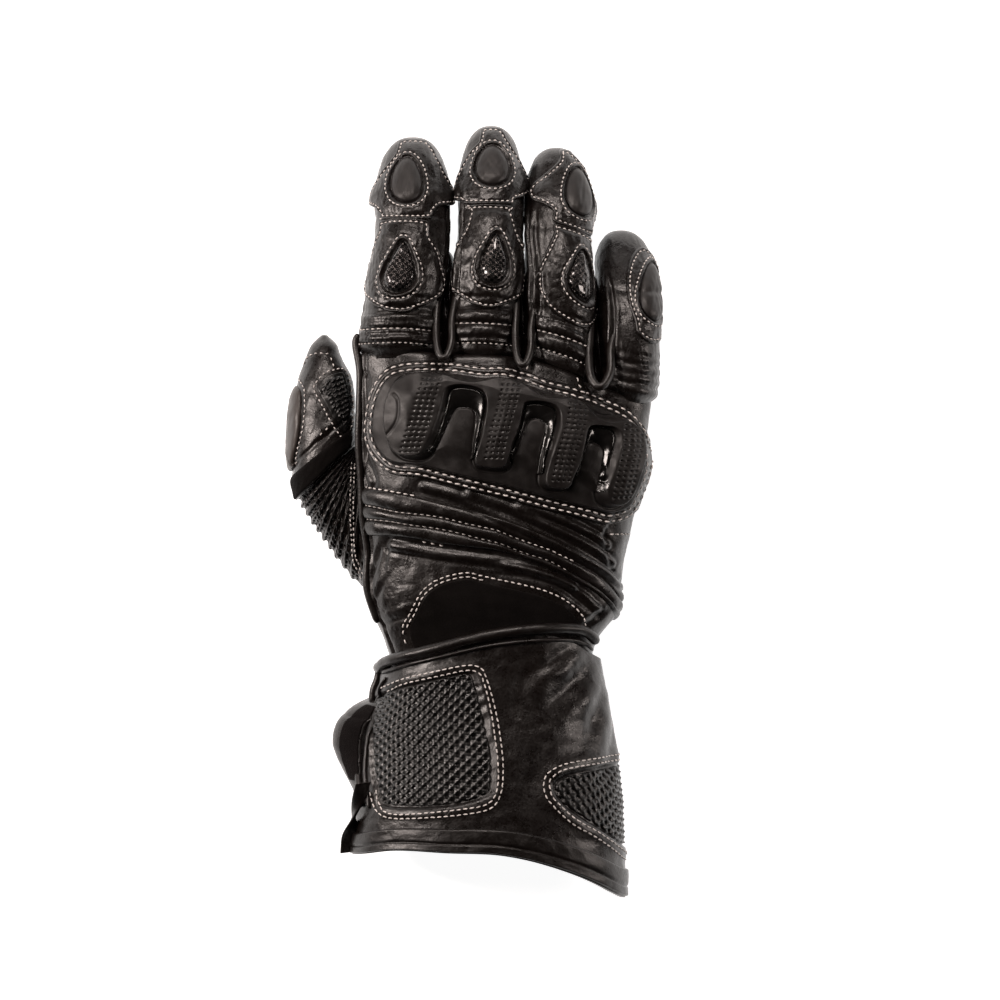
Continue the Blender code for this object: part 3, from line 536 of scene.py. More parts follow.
@dataclass(frozen=True)
class Carbon(Finish):
    """Glossy check of woven fibre under a clear coat, drawn on the piece's own UV map.

    Args:
        name: the material's name.
        slot: the record's material slot that it belongs to; not used.
        pitch: width of a strand, in the millimetres of the UV map.
    """

    name: str = "carbon"
    slot: str = "carbon_slider"
    pitch: float = 1.15

    def build(self) -> bpy.types.Material:
        """Checks of the weave from floors of u and v, with strands crossing from one to the next.

        Returns:
            The material.
        """
        n = Nodes(self.name)
        uv = n.add("ShaderNodeUVMap", uv_map="weave").outputs[0]
        scaled = n.add("ShaderNodeVectorMath", {0: uv, 3: 1.0 / self.pitch}, operation="SCALE")
        check = n.add("ShaderNodeTexChecker", {"Vector": scaled.outputs[0], "Scale": 1.0})
        parts = n.add("ShaderNodeSeparateXYZ", {0: scaled.outputs[0]})
        strands = [n.math("SINE", n.math("MULTIPLY", parts.outputs[k], 34.0)) for k in (0, 1)]
        thread = n.add(
            "ShaderNodeMix", {0: check.outputs["Fac"], 2: strands[0], 3: strands[1]}, data_type="FLOAT"
        ).outputs[0]
        colour = n.ramp(
            n.math("ADD", check.outputs["Fac"], n.math("MULTIPLY", thread, 0.10)),
            ((0.05, (0.003, 0.003, 0.003)), (0.95, (0.060, 0.054, 0.052))),
        )
        under = n.bump(thread, 0.00004, 0.5)
        return n.finish(
            Base_Color=colour,
            Roughness=n.between(check.outputs["Fac"], 0.0, 1.0, 0.30, 0.22),
            Normal=n.bump(check.outputs["Fac"], 0.00008, 0.5, under),
            Metallic=0.85,
            Coat_Weight=1.0,
            Coat_Roughness=0.05,
        )


@dataclass(frozen=True)
class Suede(Finish):
    """Napped leather or looped pile: almost black, with a soft sheen and a mottled nap.

    Args:
        name: the material's name.
        slot: the record's material slot that it belongs to; not used.
        colour: base colour.
        sheen: weight of the sheen.
        nap: depth of the fibres, in metres.
    """

    name: str = "suede"
    slot: str = "suede"
    colour: Colour = (0.0030, 0.0024, 0.0022)
    sheen: float = 0.02
    nap: float = 0.00022

    def build(self) -> bpy.types.Material:
        """Fibres from fine noise, brushed patches from broad noise.

        Returns:
            The material.
        """
        n = Nodes(self.name)
        fibres = n.noise(2600.0, 4.0, 0.7)
        brushed = n.noise(85.0, 4.0, 0.6)
        lighter = tuple(c * 2.0 + 0.001 for c in self.colour)
        tone = n.math("ADD", n.math("MULTIPLY", fibres, 0.5), n.math("MULTIPLY", brushed, 0.5))
        return n.finish(
            Base_Color=n.ramp(tone, ((0.35, self.colour), (0.7, lighter))),
            Roughness=0.95,
            Normal=n.bump(fibres, self.nap, 1.0),
            Specular_IOR_Level=0.05,
            Sheen_Weight=self.sheen,
            Sheen_Roughness=0.45,
        )


@dataclass(frozen=True)
class Thread(Finish):
    """Twisted off-white sewing thread.

    Args:
        name: the material's name.
        colour: base colour.
    """

    name: str = "thread"
    colour: Colour = (0.84, 0.79, 0.76)

    def build(self) -> bpy.types.Material:
        """Slight soiling from broad noise and fuzz from fine noise.

        Returns:
            The material.
        """
        n = Nodes(self.name)
        soil = n.noise(240.0, 3.0, 0.6)
        fuzz = n.noise(5200.0, 2.0, 0.6)
        darker = tuple(c * 0.55 for c in self.colour)
        return n.finish(
            Base_Color=n.ramp(soil, ((0.30, darker), (0.62, self.colour))),
            Roughness=0.75,
            Normal=n.bump(fuzz, 0.00006, 0.8),
            Sheen_Weight=0.15,
        )


@dataclass(frozen=True)
class Floor(Finish):
    """Plain pale paper that the glove lies on.

    Args:
        name: the material's name.
    """

    name: str = "floor"

    def build(self) -> bpy.types.Material:
        """A pale colour with a barely visible tooth.

        Returns:
            The material.
        """
        n = Nodes(self.name)
        tooth = n.noise(900.0, 2.0, 0.5)
        return n.finish(
            Base_Color=n.ramp(tooth, ((0.2, (0.86, 0.86, 0.86)), (0.8, (0.90, 0.90, 0.90)))),
            Roughness=0.8,
            Specular_IOR_Level=0.1,
            Emission_Color=(1.0, 1.0, 1.0, 1.0),
            Emission_Strength=0.95,
        )


@dataclass(frozen=True)
class HandSizes:
    """Sizes of the hand's leather, in millimetres, with its tables in shares of them.

    Args:
        width: across the knuckles.
        length: from the tuck inside the cuff to the middle finger's web.
        depth: from the palm to the knuckles.
        tuck: how far the hand reaches into the cuff.
        sink: how far the flat palm is pressed into the ground, so that it lies on it.
        sections: sections of the hand, from the tuck to the webs.
        web: the line of the finger webs.
    """

    width: float = 118.0
    length: float = 135.0
    depth: float = 50.0
    tuck: float = 20.0
    sink: float = 1.5
    sections: Table = Table(
        ("along", "centre", "half", "low", "top"),
        (
            (0.00, -0.058, 0.325, 0.20, 0.88),
            (0.10, -0.058, 0.340, 0.16, 0.89),
            (0.17, -0.058, 0.368, 0.10, 0.92),
            (0.27, -0.047, 0.427, 0.03, 0.97),
            (0.39, -0.044, 0.434, 0.00, 0.98),
            (0.50, -0.041, 0.450, 0.00, 1.00),
            (0.62, -0.031, 0.468, 0.00, 1.02),
            (0.74, -0.014, 0.487, 0.03, 1.02),
            (0.87, -0.015, 0.490, 0.12, 0.98),
            (1.00, -0.008, 0.497, 0.21, 0.89),
        ),
    )
    web: Table = Table(
        ("across", "value"),
        (
            (-0.52, 1.000),
            (-0.34, 1.003),
            (-0.20, 0.992),
            (-0.06, 0.989),
            (0.06, 0.978),
            (0.20, 0.942),
            (0.32, 0.895),
            (0.42, 0.871),
            (0.53, 0.853),
        ),
    )

    def web_y(self, x: Array) -> Array:
        """The line of the finger webs: its table's share of the length, less the tuck."""
        return self.web.read("value", np.asarray(x) / self.width) * self.length - self.tuck


HAND = HandSizes()


class Skin(ABC):
    """A tube of leather that is drawn on in cloth coordinates.

    A place on it is v, the millimetres from the tube's start, and w, the millimetres round it from
    its top, positive towards +X. A table of arc lengths, worked out once, turns w into an angle.

    Args:
        length: millimetres from the tube's start to its end.
    """

    length: float
    BEFORE = 6.0

    def __init__(self) -> None:
        """Measures the arcs round the tube at 41 places along it, then its folds."""
        self.turns = np.radians(np.linspace(-178, 178, 713))
        alongs = np.linspace(0, 0.995, 41)[:, None]
        ring = self.point(alongs, np.pi / 2 - self.turns[None, :], 0.0)
        steps = np.linalg.norm(np.diff(ring, axis=1)[..., [0, 2]], axis=-1)
        arcs = np.concatenate((np.zeros((41, 1)), np.cumsum(steps, axis=1)), axis=1)
        self.arcs = arcs - arcs[:, 356:357]
        self.reach = float(np.abs(self.arcs[:, [0, -1]]).max())
        widths = np.linspace(-self.reach, self.reach, 901)
        self.turn_of = np.array([np.interp(widths, arc, self.turns) for arc in self.arcs])
        v = np.linspace(-self.BEFORE, self.length, int((self.length + self.BEFORE) / 0.33))[:, None]
        w = np.linspace(-self.reach, self.reach, int(2 * self.reach / 0.33))[None, :]
        self.height_at = self.folds(*np.broadcast_arrays(v, w))

    @abstractmethod
    def point(self, along: Array, angle: Array, lift: Array) -> Array:
        """Points of the tube by share of its length, angle from +X and lift off it."""

    @abstractmethod
    def find(self, x: Array, y: Array) -> tuple[Array, Array]:
        """Share of the length and turn from the top, in radians, of places seen from above."""

    def folds(self, v: Array, w: Array) -> Array:
        """Height of the leather's own folds at cloth coordinates, in millimetres."""
        return np.zeros(np.broadcast(v, w).shape)

    def relief(self, v: Array, w: Array) -> Array:
        """The folds' height, read from a table of it with a step of a third of a millimetre.

        Args:
            v: millimetres along the skin.
            w: millimetres round it from its top.

        Returns:
            Millimetres outwards.
        """
        v, w = np.broadcast_arrays(np.asarray(v, float), np.asarray(w, float))
        share = (v + self.BEFORE) / (self.length + self.BEFORE)
        return self._read(self.height_at, share, (w / self.reach + 1) / 2)

    @staticmethod
    def _read(table: Array, along: Array, share: Array) -> Array:
        """Bilinear reading of a table, by share of its rows and share of its columns.

        Args:
            table: rows along and columns round.
            along: shares of the rows, from 0 to 1.
            share: shares of the columns, from 0 to 1.

        Returns:
            The table's values there.
        """
        i = np.clip(along, 0, 1) * (table.shape[0] - 1)
        j = np.clip(share, 0, 1) * (table.shape[1] - 1)
        i0 = np.minimum(i.astype(int), table.shape[0] - 2)
        j0 = np.minimum(j.astype(int), table.shape[1] - 2)
        u, t = i - i0, j - j0
        near = table[i0, j0] * (1 - t) + table[i0, j0 + 1] * t
        far = table[i0 + 1, j0] * (1 - t) + table[i0 + 1, j0 + 1] * t
        return near * (1 - u) + far * u

    def turn(self, v: Array, w: Array) -> Array:
        """Angle from the top, in radians, of cloth coordinates."""
        v, w = np.broadcast_arrays(np.asarray(v, float), np.asarray(w, float))
        return self._read(self.turn_of, v / self.length / 0.995, (w / self.reach + 1) / 2)

    def arc(self, v: Array, turn: Array) -> Array:
        """Millimetres round from the top of angles from the top, in radians.

        Args:
            v: millimetres along the skin.
            turn: angles from the top, in radians.

        Returns:
            The millimetres round.
        """
        v, turn = np.broadcast_arrays(np.asarray(v, float), np.asarray(turn, float))
        share = (turn - self.turns[0]) / (self.turns[-1] - self.turns[0])
        return self._read(self.arcs, v / self.length / 0.995, share)

    def lay(self, v: Array, w: Array, lift: Array) -> Array:
        """Points at cloth coordinates, lifted off the folded leather.

        Args:
            v: millimetres along.
            w: millimetres round from the top.
            lift: millimetres off the leather.

        Returns:
            The points, in pattern millimetres.
        """
        v, w, lift = np.broadcast_arrays(*(np.asarray(n, float) for n in (v, w, lift)))
        return self.point(v / self.length, np.pi / 2 - self.turn(v, w), lift + self.relief(v, w))

    def spot(self, places: Sequence) -> Array:
        """Cloth coordinates of places seen from above, given as rows of x and y.

        Args:
            places: rows of x and y, in millimetres.

        Returns:
            Rows of v and w.
        """
        places = np.asarray(places, float)
        along, turn = self.find(places[:, 0], places[:, 1])
        return np.stack((along * self.length, self.arc(along * self.length, turn)), -1)

    def normal(self, v: Array, w: Array) -> Array:
        """Outward unit normals: the cross product of steps of 0.2 mm round and along.

        Args:
            v: millimetres along the skin.
            w: millimetres round it from its top.

        Returns:
            Vectors of length one.
        """
        step = 0.2
        round_ = self.lay(v, w + step, 0.0) - self.lay(v, w - step, 0.0)
        ahead = self.lay(v + step, w, 0.0) - self.lay(v - step, w, 0.0)
        out = np.cross(round_, ahead)
        return out / (np.linalg.norm(out, axis=-1, keepdims=True) + 1e-12)

    def shell(
        self, name: str, vs: Array, around: int, finish: Finish, *replaced: str, wall: float = 0.0
    ) -> bpy.types.Object:
        """The tube itself: rings at given v, closed at both ends or with a wall inside it.

        Args:
            name: the piece's name.
            vs: places of the rings, in millimetres along.
            around: number of points round.
            finish: what it is made of.
            replaced: the CAD nodes that it stands for.
            wall: thickness of an open tube's leather, or 0 for a closed one.

        Returns:
            The new object.
        """
        turn = np.linspace(-np.pi, np.pi, around, endpoint=False)[None, :]
        v = np.asarray(vs, float)[:, None]
        w = self.arc(v, np.clip(turn, self.turns[0], self.turns[-1]))
        along, turn, w = np.broadcast_arrays(v / self.length, turn, w)
        lift = self.relief(along * self.length, w)
        points = self.point(along, np.pi / 2 - turn, lift)
        if wall > 0:
            lining = self.point(along, np.pi / 2 - turn, lift - wall)[::-1]
            lining[..., 2] = np.maximum(lining[..., 2], 0.6 * wall)
            points = np.concatenate((points, lining))
        return make_piece(name, *closed_rings(points, wall > 0), finish, *replaced, turn_out=wall > 0)


class FingerSkin(Skin):
    """One finger's stall: an oval that narrows to its tip, on the line of the webs."""

    PROFILE = Table(
        ("along", "width", "depth", "height"),
        (
            (0.00, 1.00, 1.18, 0.95),
            (0.17, 1.00, 1.12, 0.98),
            (0.33, 1.00, 1.04, 1.00),
            (0.50, 0.99, 1.00, 0.93),
            (0.70, 1.01, 0.98, 0.69),
            (0.85, 1.00, 0.96, 0.46),
            (1.00, 0.96, 0.94, 0.30),
        ),
    )

    def __init__(self, sizes: "FingerSizes") -> None:
        """Keeps the finger's sizes and measures it.

        Args:
            sizes: the finger's sizes.
        """
        self.sizes = sizes
        self.length = sizes.length
        self.tip = float(HAND.web_y(sizes.place * HAND.width)) + sizes.length
        super().__init__()

    def ring(self, along: Array) -> tuple[Array, Array, Array, Array]:
        """Centre across and up, half width and half depth of the section at some share.

        Args:
            along: shares of the length.

        Returns:
            Four arrays, in millimetres.
        """
        s = self.sizes
        u = np.clip((along - 0.69) / 0.31, 0, 1)
        blunt = (1 - u**2.5) ** (1 / 2.5)
        flare = 1 + s.flare * np.clip(1 - along / 0.5, 0, 1.1) ** 1.5
        aside = s.lean * ease(0.0, 0.6, along) + s.bow * 4 * along * (1 - along)
        half = self.PROFILE.read("width", along) * s.width / 2 * flare * blunt
        deep = self.PROFILE.read("depth", along) * s.depth / 2 * blunt
        return s.place * HAND.width + aside, self.PROFILE.read("height", along) * 28.5, half, deep

    def point(self, along: Array, angle: Array, lift: Array) -> Array:
        """Oval of the section's halves plus the lift, y from the web line to the tip's line.

        Args:
            along: shares of the length.
            angle: angles from +X, in radians.
            lift: millimetres off the leather.

        Returns:
            The points, in pattern millimetres.
        """
        x0, z0, half, deep = self.ring(along)
        across, up = oval(angle, 2.2, 2.4)
        x = x0 + (half + lift) * across
        root = HAND.web_y(x) + 0.3
        z = np.maximum(z0 + (deep + lift) * up, 0.0)
        return np.stack(np.broadcast_arrays(x, root + along * (self.tip - root), z), -1)

    def find(self, x: Array, y: Array) -> tuple[Array, Array]:
        """Share from the web line to the tip, and turn from the power of the share across.

        Args:
            x: places across the palm, in millimetres.
            y: places along the fingers, in millimetres.

        Returns:
            Shares of the length and turns in radians.
        """
        root = HAND.web_y(x) + 0.3
        along = (y - root) / (self.tip - root)
        x0, _, half, _ = self.ring(np.clip(along, 0, 0.99))
        across = np.clip((x - x0) / half, -1, 1)
        return along, np.arcsin(np.sign(across) * np.abs(across) ** 1.1)

    def folds(self, v: Array, w: Array) -> Array:
        """Folds of the leather: crosswise creases at the joints, seams along the sides, ripples.

        Args:
            v: millimetres along the skin.
            w: millimetres round it from its top.

        Returns:
            Heights in millimetres.
        """
        v, w = np.broadcast_arrays(np.asarray(v, float), np.asarray(w, float))
        s = self.sizes
        height = 0.16 * ripple(v, w, 13.0, s.seed) + 0.10 * ripple(v, 2.2 * w, 5.0, s.seed + 1)
        back = bell(w - s.roll / 57.3 * s.width * 0.5, 13.0)
        for share, depth in ((0.07, 0.9), (0.13, 0.5), (0.19, 0.7), (0.24, 0.4), (0.62, 0.5)):
            bend = 0.012 * np.abs(w) + 0.5 * ripple(w, 0 * w, 9.0, s.seed + int(90 * share))
            height -= depth * (0.4 + 0.6 * back) * bell(v - share * s.length + bend, 1.1)
        side = s.depth * 0.86
        palm = ease(side, side + 6, np.abs(w))
        for share in (0.22, 0.30, 0.48, 0.56, 0.70):
            height -= 0.8 * palm * bell(v - share * s.length + 0.6 * ripple(w, v, 8.0, 5), 1.3)
        for edge in (-side, side):
            height += 0.45 * bell(w - edge - 0.5, 0.9) - 0.5 * bell(w - edge + 0.8, 0.5)
        for edge in s.pleats:
            near = ease(0.16, 0.30, v / s.length) * ease(0.74, 0.60, v / s.length)
            off = w - edge + 0.9 * np.sin(v / 7.0)
            height += near * (1.0 * bell(off, 1.2) - 1.1 * bell(off - 1.9, 0.7) + 0.6 * bell(off - 3.6, 1.0))
        return height * ease(1.0, 0.93, v / s.length) - 3.2 * ease(2.0, -3.2, v)


class HandSkin(Skin):
    """The hand from its tuck inside the cuff to the webs, an oval with a flat palm."""

    length = HAND.length
    # soft folds of the back, drawn as seen from above
    SOFT = (
        (
            (-32.8, 61.2), (-20.0, 57.6), (-7.6, 51.6), (4.8, 45.6), (17.2, 39.6), (30.0, 32.8),
            (39.6, 26.8), (46.0, 20.8),
        ),
        ((-14.8, 58.4), (1.2, 52.8), (17.2, 45.6), (33.2, 37.6), (42.0, 30.8)),
        ((5.2, 53.6), (19.2, 49.2), (33.2, 42.8), (39.6, 38.0)),
        ((-46.0, 38.0), (-30.8, 35.2), (-14.8, 33.2), (-0.8, 31.2), (13.2, 27.6), (26.0, 22.0)),
        ((-2.8, 29.6), (9.2, 27.6), (19.6, 24.4), (28.4, 19.2), (35.6, 12.8)),
        ((-57.2, 104.0), (-57.6, 88.0), (-57.2, 72.0), (-54.0, 63.2)),
    )
    # line of the ribs' right ends
    PATCH_EDGE = ((38.8, 44.4), (39.2, 38.8), (39.6, 33.6), (42.4, 28.0), (46.0, 22.8))
    # w and v of the middle, half length, turn in degrees, depth and width of each fold of the back
    CREASES = (
        (-50.0, 30.0, 9.0, 62.0, 0.7, 1.4),
        (-47.0, 20.0, 8.0, 55.0, 0.5, 1.2),
        (-44.0, 34.0, 6.0, 80.0, 0.4, 1.0),
        (20.0, 34.0, 16.0, -12.0, 0.5, 1.4),
        (34.0, 20.0, 10.0, -30.0, 0.7, 1.6),
        (-40.0, 8.0, 9.0, 20.0, 0.6, 1.5),
        (42.0, 12.0, 8.0, 40.0, 0.8, 1.6),
        (46.0, 52.0, 7.0, 75.0, 0.5, 1.2),
    )

    def point(self, along: Array, angle: Array, lift: Array) -> Array:
        """Oval between the section's underside and top, y as a share of the way to the webs.

        Args:
            along: shares of the length.
            angle: angles from +X, in radians.
            lift: millimetres off the leather.

        Returns:
            The points, in pattern millimetres.
        """
        read = HAND.sections.read
        half = read("half", along) * HAND.width + lift
        centre = read("centre", along) * HAND.width
        low, top = read("low", along) * HAND.depth - lift, read("top", along) * HAND.depth + lift
        across, up = oval(angle, 2.7, 3.2)
        x = centre + half * across
        y = along * (HAND.web_y(x) + HAND.tuck) - HAND.tuck
        z = (low + top) / 2 + (top - low) / 2 * up - HAND.sink
        return np.stack(np.broadcast_arrays(x, y, np.maximum(z, 0.0)), -1)

    def find(self, x: Array, y: Array) -> tuple[Array, Array]:
        """Share of the way to the webs, and turn from the power of the share across.

        Args:
            x: places across the palm, in millimetres.
            y: places along the fingers, in millimetres.

        Returns:
            Shares of the length and turns in radians.
        """
        along = (y + HAND.tuck) / (HAND.web_y(x) + HAND.tuck)
        half = HAND.sections.read("half", along) * HAND.width
        across = np.clip((x - HAND.sections.read("centre", along) * HAND.width) / half, -1, 1)
        return along, np.arcsin(np.sign(across) * np.abs(across) ** 1.35)

    def folds(self, v: Array, w: Array) -> Array:
        """Valleys between the knuckles, drawn-in webs, listed folds and ripples.

        Args:
            v: millimetres along the skin.
            w: millimetres round it from its top.

        Returns:
            Heights in millimetres.
        """
        v, w = np.broadcast_arrays(np.asarray(v, float), np.asarray(w, float))
        height = 0.30 * ripple(v, w, 26.0, 41) + 0.14 * ripple(v, w, 8.0, 42)
        for place, depth in ((-25.5, 5.5), (6.5, 5.0), (35.0, 5.5)):
            near = ease(0.90, 1.0, v / self.length)
            height -= depth * near * bell(w - place * 1.02, 3.4) * (np.abs(w) < 75)
        for line in self.SOFT:
            near = distance_to(self.spot(smooth(line, 3.0)), v, w)
            height += 0.75 * bell(near, 1.7) - 0.45 * bell(near - 2.6, 1.0)
        height -= 1.6 * (1 - rounded(self.length - v, 2.4))
        edge = distance_to(self.spot(smooth(self.PATCH_EDGE, 2.0)), v, w)
        height -= 0.5 * bell(edge, 0.8)
        welt = self.arc(v, np.radians(np.full(np.shape(v), -75.0)))
        height -= 1.5 * bell(w - welt - 2.3, 0.9)
        fine = bell(v - 36.0, 16.0) * bell(w + 38.0, 14.0)
        height += fine * (0.08 * ripple(v, w, 3.6, 43) + 0.05 * ripple(v, w, 1.9, 44))
        return height - creases(w, v - HAND.tuck, self.CREASES, 0.03, 0.6, 2.2)


class ThumbSkin(Skin):
    """The thumb's stall, set on a slanted base."""

    length = 55.9
    WIDTH, DEPTH, X, BASE, SLANT = 27.2, 30.0, -73.5, 66.5, 0.95
    SECTIONS = Table(
        ("along", "left", "right", "top"),
        (
            (0.00, 0.82, 0.93, 1.06),
            (0.14, 0.94, 0.93, 1.05),
            (0.30, 0.99, 0.93, 1.02),
            (0.46, 0.99, 0.91, 0.97),
            (0.61, 0.90, 0.82, 0.91),
            (0.74, 0.74, 0.65, 0.84),
            (0.85, 0.55, 0.46, 0.74),
            (0.94, 0.36, 0.32, 0.62),
            (1.00, 0.10, 0.10, 0.48),
        ),
    )

    def point(self, along: Array, angle: Array, lift: Array) -> Array:
        """Oval with a left and a right half width, y slanted towards the base.

        Args:
            along: shares of the length.
            angle: angles from +X, in radians.
            lift: millimetres off the leather.

        Returns:
            The points, in pattern millimetres.
        """
        side = np.where(
            np.cos(angle) >= 0, self.SECTIONS.read("right", along), self.SECTIONS.read("left", along)
        )
        top = self.SECTIONS.read("top", along) * self.DEPTH
        low = ease(0.35, 1.0, along) * self.DEPTH * 0.24
        across, up = oval(angle, 2.1, 2.4)
        x = self.X + (side * self.WIDTH / 2 + lift) * across
        y = self.BASE + along * self.length + self.SLANT * (1 - along) * (x - self.X)
        z = np.maximum((low + top) / 2 + ((top - low) / 2 + lift) * up, 0.0)
        return np.stack(np.broadcast_arrays(x, y, z), -1)

    def find(self, x: Array, y: Array) -> tuple[Array, Array]:
        """Share along the slanted thumb, and turn from the power of the share across.

        Args:
            x: places across the palm, in millimetres.
            y: places along the fingers, in millimetres.

        Returns:
            Shares of the length and turns in radians.
        """
        dx = x - self.X
        along = (y - self.BASE - self.SLANT * dx) / (self.length - self.SLANT * dx)
        side = np.where(dx >= 0, self.SECTIONS.read("right", along), self.SECTIONS.read("left", along))
        across = np.clip(dx / (side * self.WIDTH / 2), -1, 1)
        return along, np.arcsin(np.sign(across) * np.abs(across) ** 1.05)

    def folds(self, v: Array, w: Array) -> Array:
        """Soft ripples and a fold across the joint.

        Args:
            v: millimetres along the skin.
            w: millimetres round it from its top.

        Returns:
            Heights in millimetres.
        """
        v, w = np.broadcast_arrays(np.asarray(v, float), np.asarray(w, float))
        height = 0.22 * ripple(v, w, 14.0, 71) + 0.10 * ripple(v, w, 5.0, 72)
        return height - 0.5 * bell(v - 14.0 - 0.12 * w + 0.5 * ripple(w, v, 9.0, 73), 1.2)


class GussetSkin(Skin):
    """The fan of leather between thumb and palm, round a pivot beside the palm."""

    length = 60.0
    X, Y, REACH, DEPTH, PLEATS = -56.7, 81.9, 64.0, 30.0, 12
    SECTIONS = Table(
        ("along", "turn", "near", "far", "top"),
        (
            (0.00, 223.5, 0.085, 0.590, 1.02),
            (0.20, 236.0, 0.095, 0.640, 1.02),
            (0.45, 250.0, 0.110, 0.730, 1.01),
            (0.65, 260.0, 0.125, 0.840, 1.00),
            (0.82, 269.0, 0.130, 0.950, 1.01),
            (1.00, 286.0, 0.140, 0.980, 0.98),
        ),
    )

    def point(self, along: Array, angle: Array, lift: Array) -> Array:
        """Oval standing on the ray of the section's turn, between its near and far reaches.

        Args:
            along: shares of the length.
            angle: angles from +X, in radians.
            lift: millimetres off the leather.

        Returns:
            The points, in pattern millimetres.
        """
        read = self.SECTIONS.read
        turn = np.radians(read("turn", along))
        near, far = read("near", along) * self.REACH, read("far", along) * self.REACH
        top = read("top", along) * self.DEPTH
        out, up = oval(angle, 2.1, 2.4)
        reach = (near + far) / 2 + ((far - near) / 2 + lift) * out
        z = np.maximum(top / 2 + (top / 2 + lift) * up, 0.0)
        x, y = self.X + reach * np.cos(turn), self.Y + reach * np.sin(turn)
        return np.stack(np.broadcast_arrays(x, y, z), -1)

    def find(self, x: Array, y: Array) -> tuple[Array, Array]:
        """Share of the fan from the ray's turn, and turn from the power of the share outwards.

        Args:
            x: places across the palm, in millimetres.
            y: places along the fingers, in millimetres.

        Returns:
            Shares of the length and turns in radians.
        """
        data = np.array(self.SECTIONS.rows)
        turn = np.degrees(np.arctan2(y - self.Y, x - self.X)) % 360
        along = np.interp(turn, data[:, 1], data[:, 0])
        near, far = (self.SECTIONS.read(c, along) * self.REACH for c in ("near", "far"))
        out = np.clip((np.hypot(x - self.X, y - self.Y) - (near + far) / 2) / (far - near) * 2, -1, 1)
        return along, np.arcsin(np.sign(out) * np.abs(out) ** 1.05)

    def folds(self, v: Array, w: Array) -> Array:
        """Accordion pleats: flattened cosines of the fan's share, fading at the pivot.

        Args:
            v: millimetres along the skin.
            w: millimetres round it from its top.

        Returns:
            Heights in millimetres.
        """
        v, w = np.broadcast_arrays(np.asarray(v, float), np.asarray(w, float))
        wave = np.cos(2 * np.pi * self.PLEATS * v / self.length + 0.05 * w)
        height = 1.35 * (np.sign(wave) * np.abs(wave) ** 0.8 - 1) / 2 * ease(-24, -4, w)
        row, off = v / 2.15, w / 2.3
        off = off + 0.5 * (np.round(row) % 2)
        pit = np.hypot((row - np.round(row)) * 2.15, (off - np.round(off)) * 2.3)
        return height + 0.25 * ripple(v, w, 5.0, 81) - 1.0 * bell(pit, 0.55) * ease(-14, -9, w)


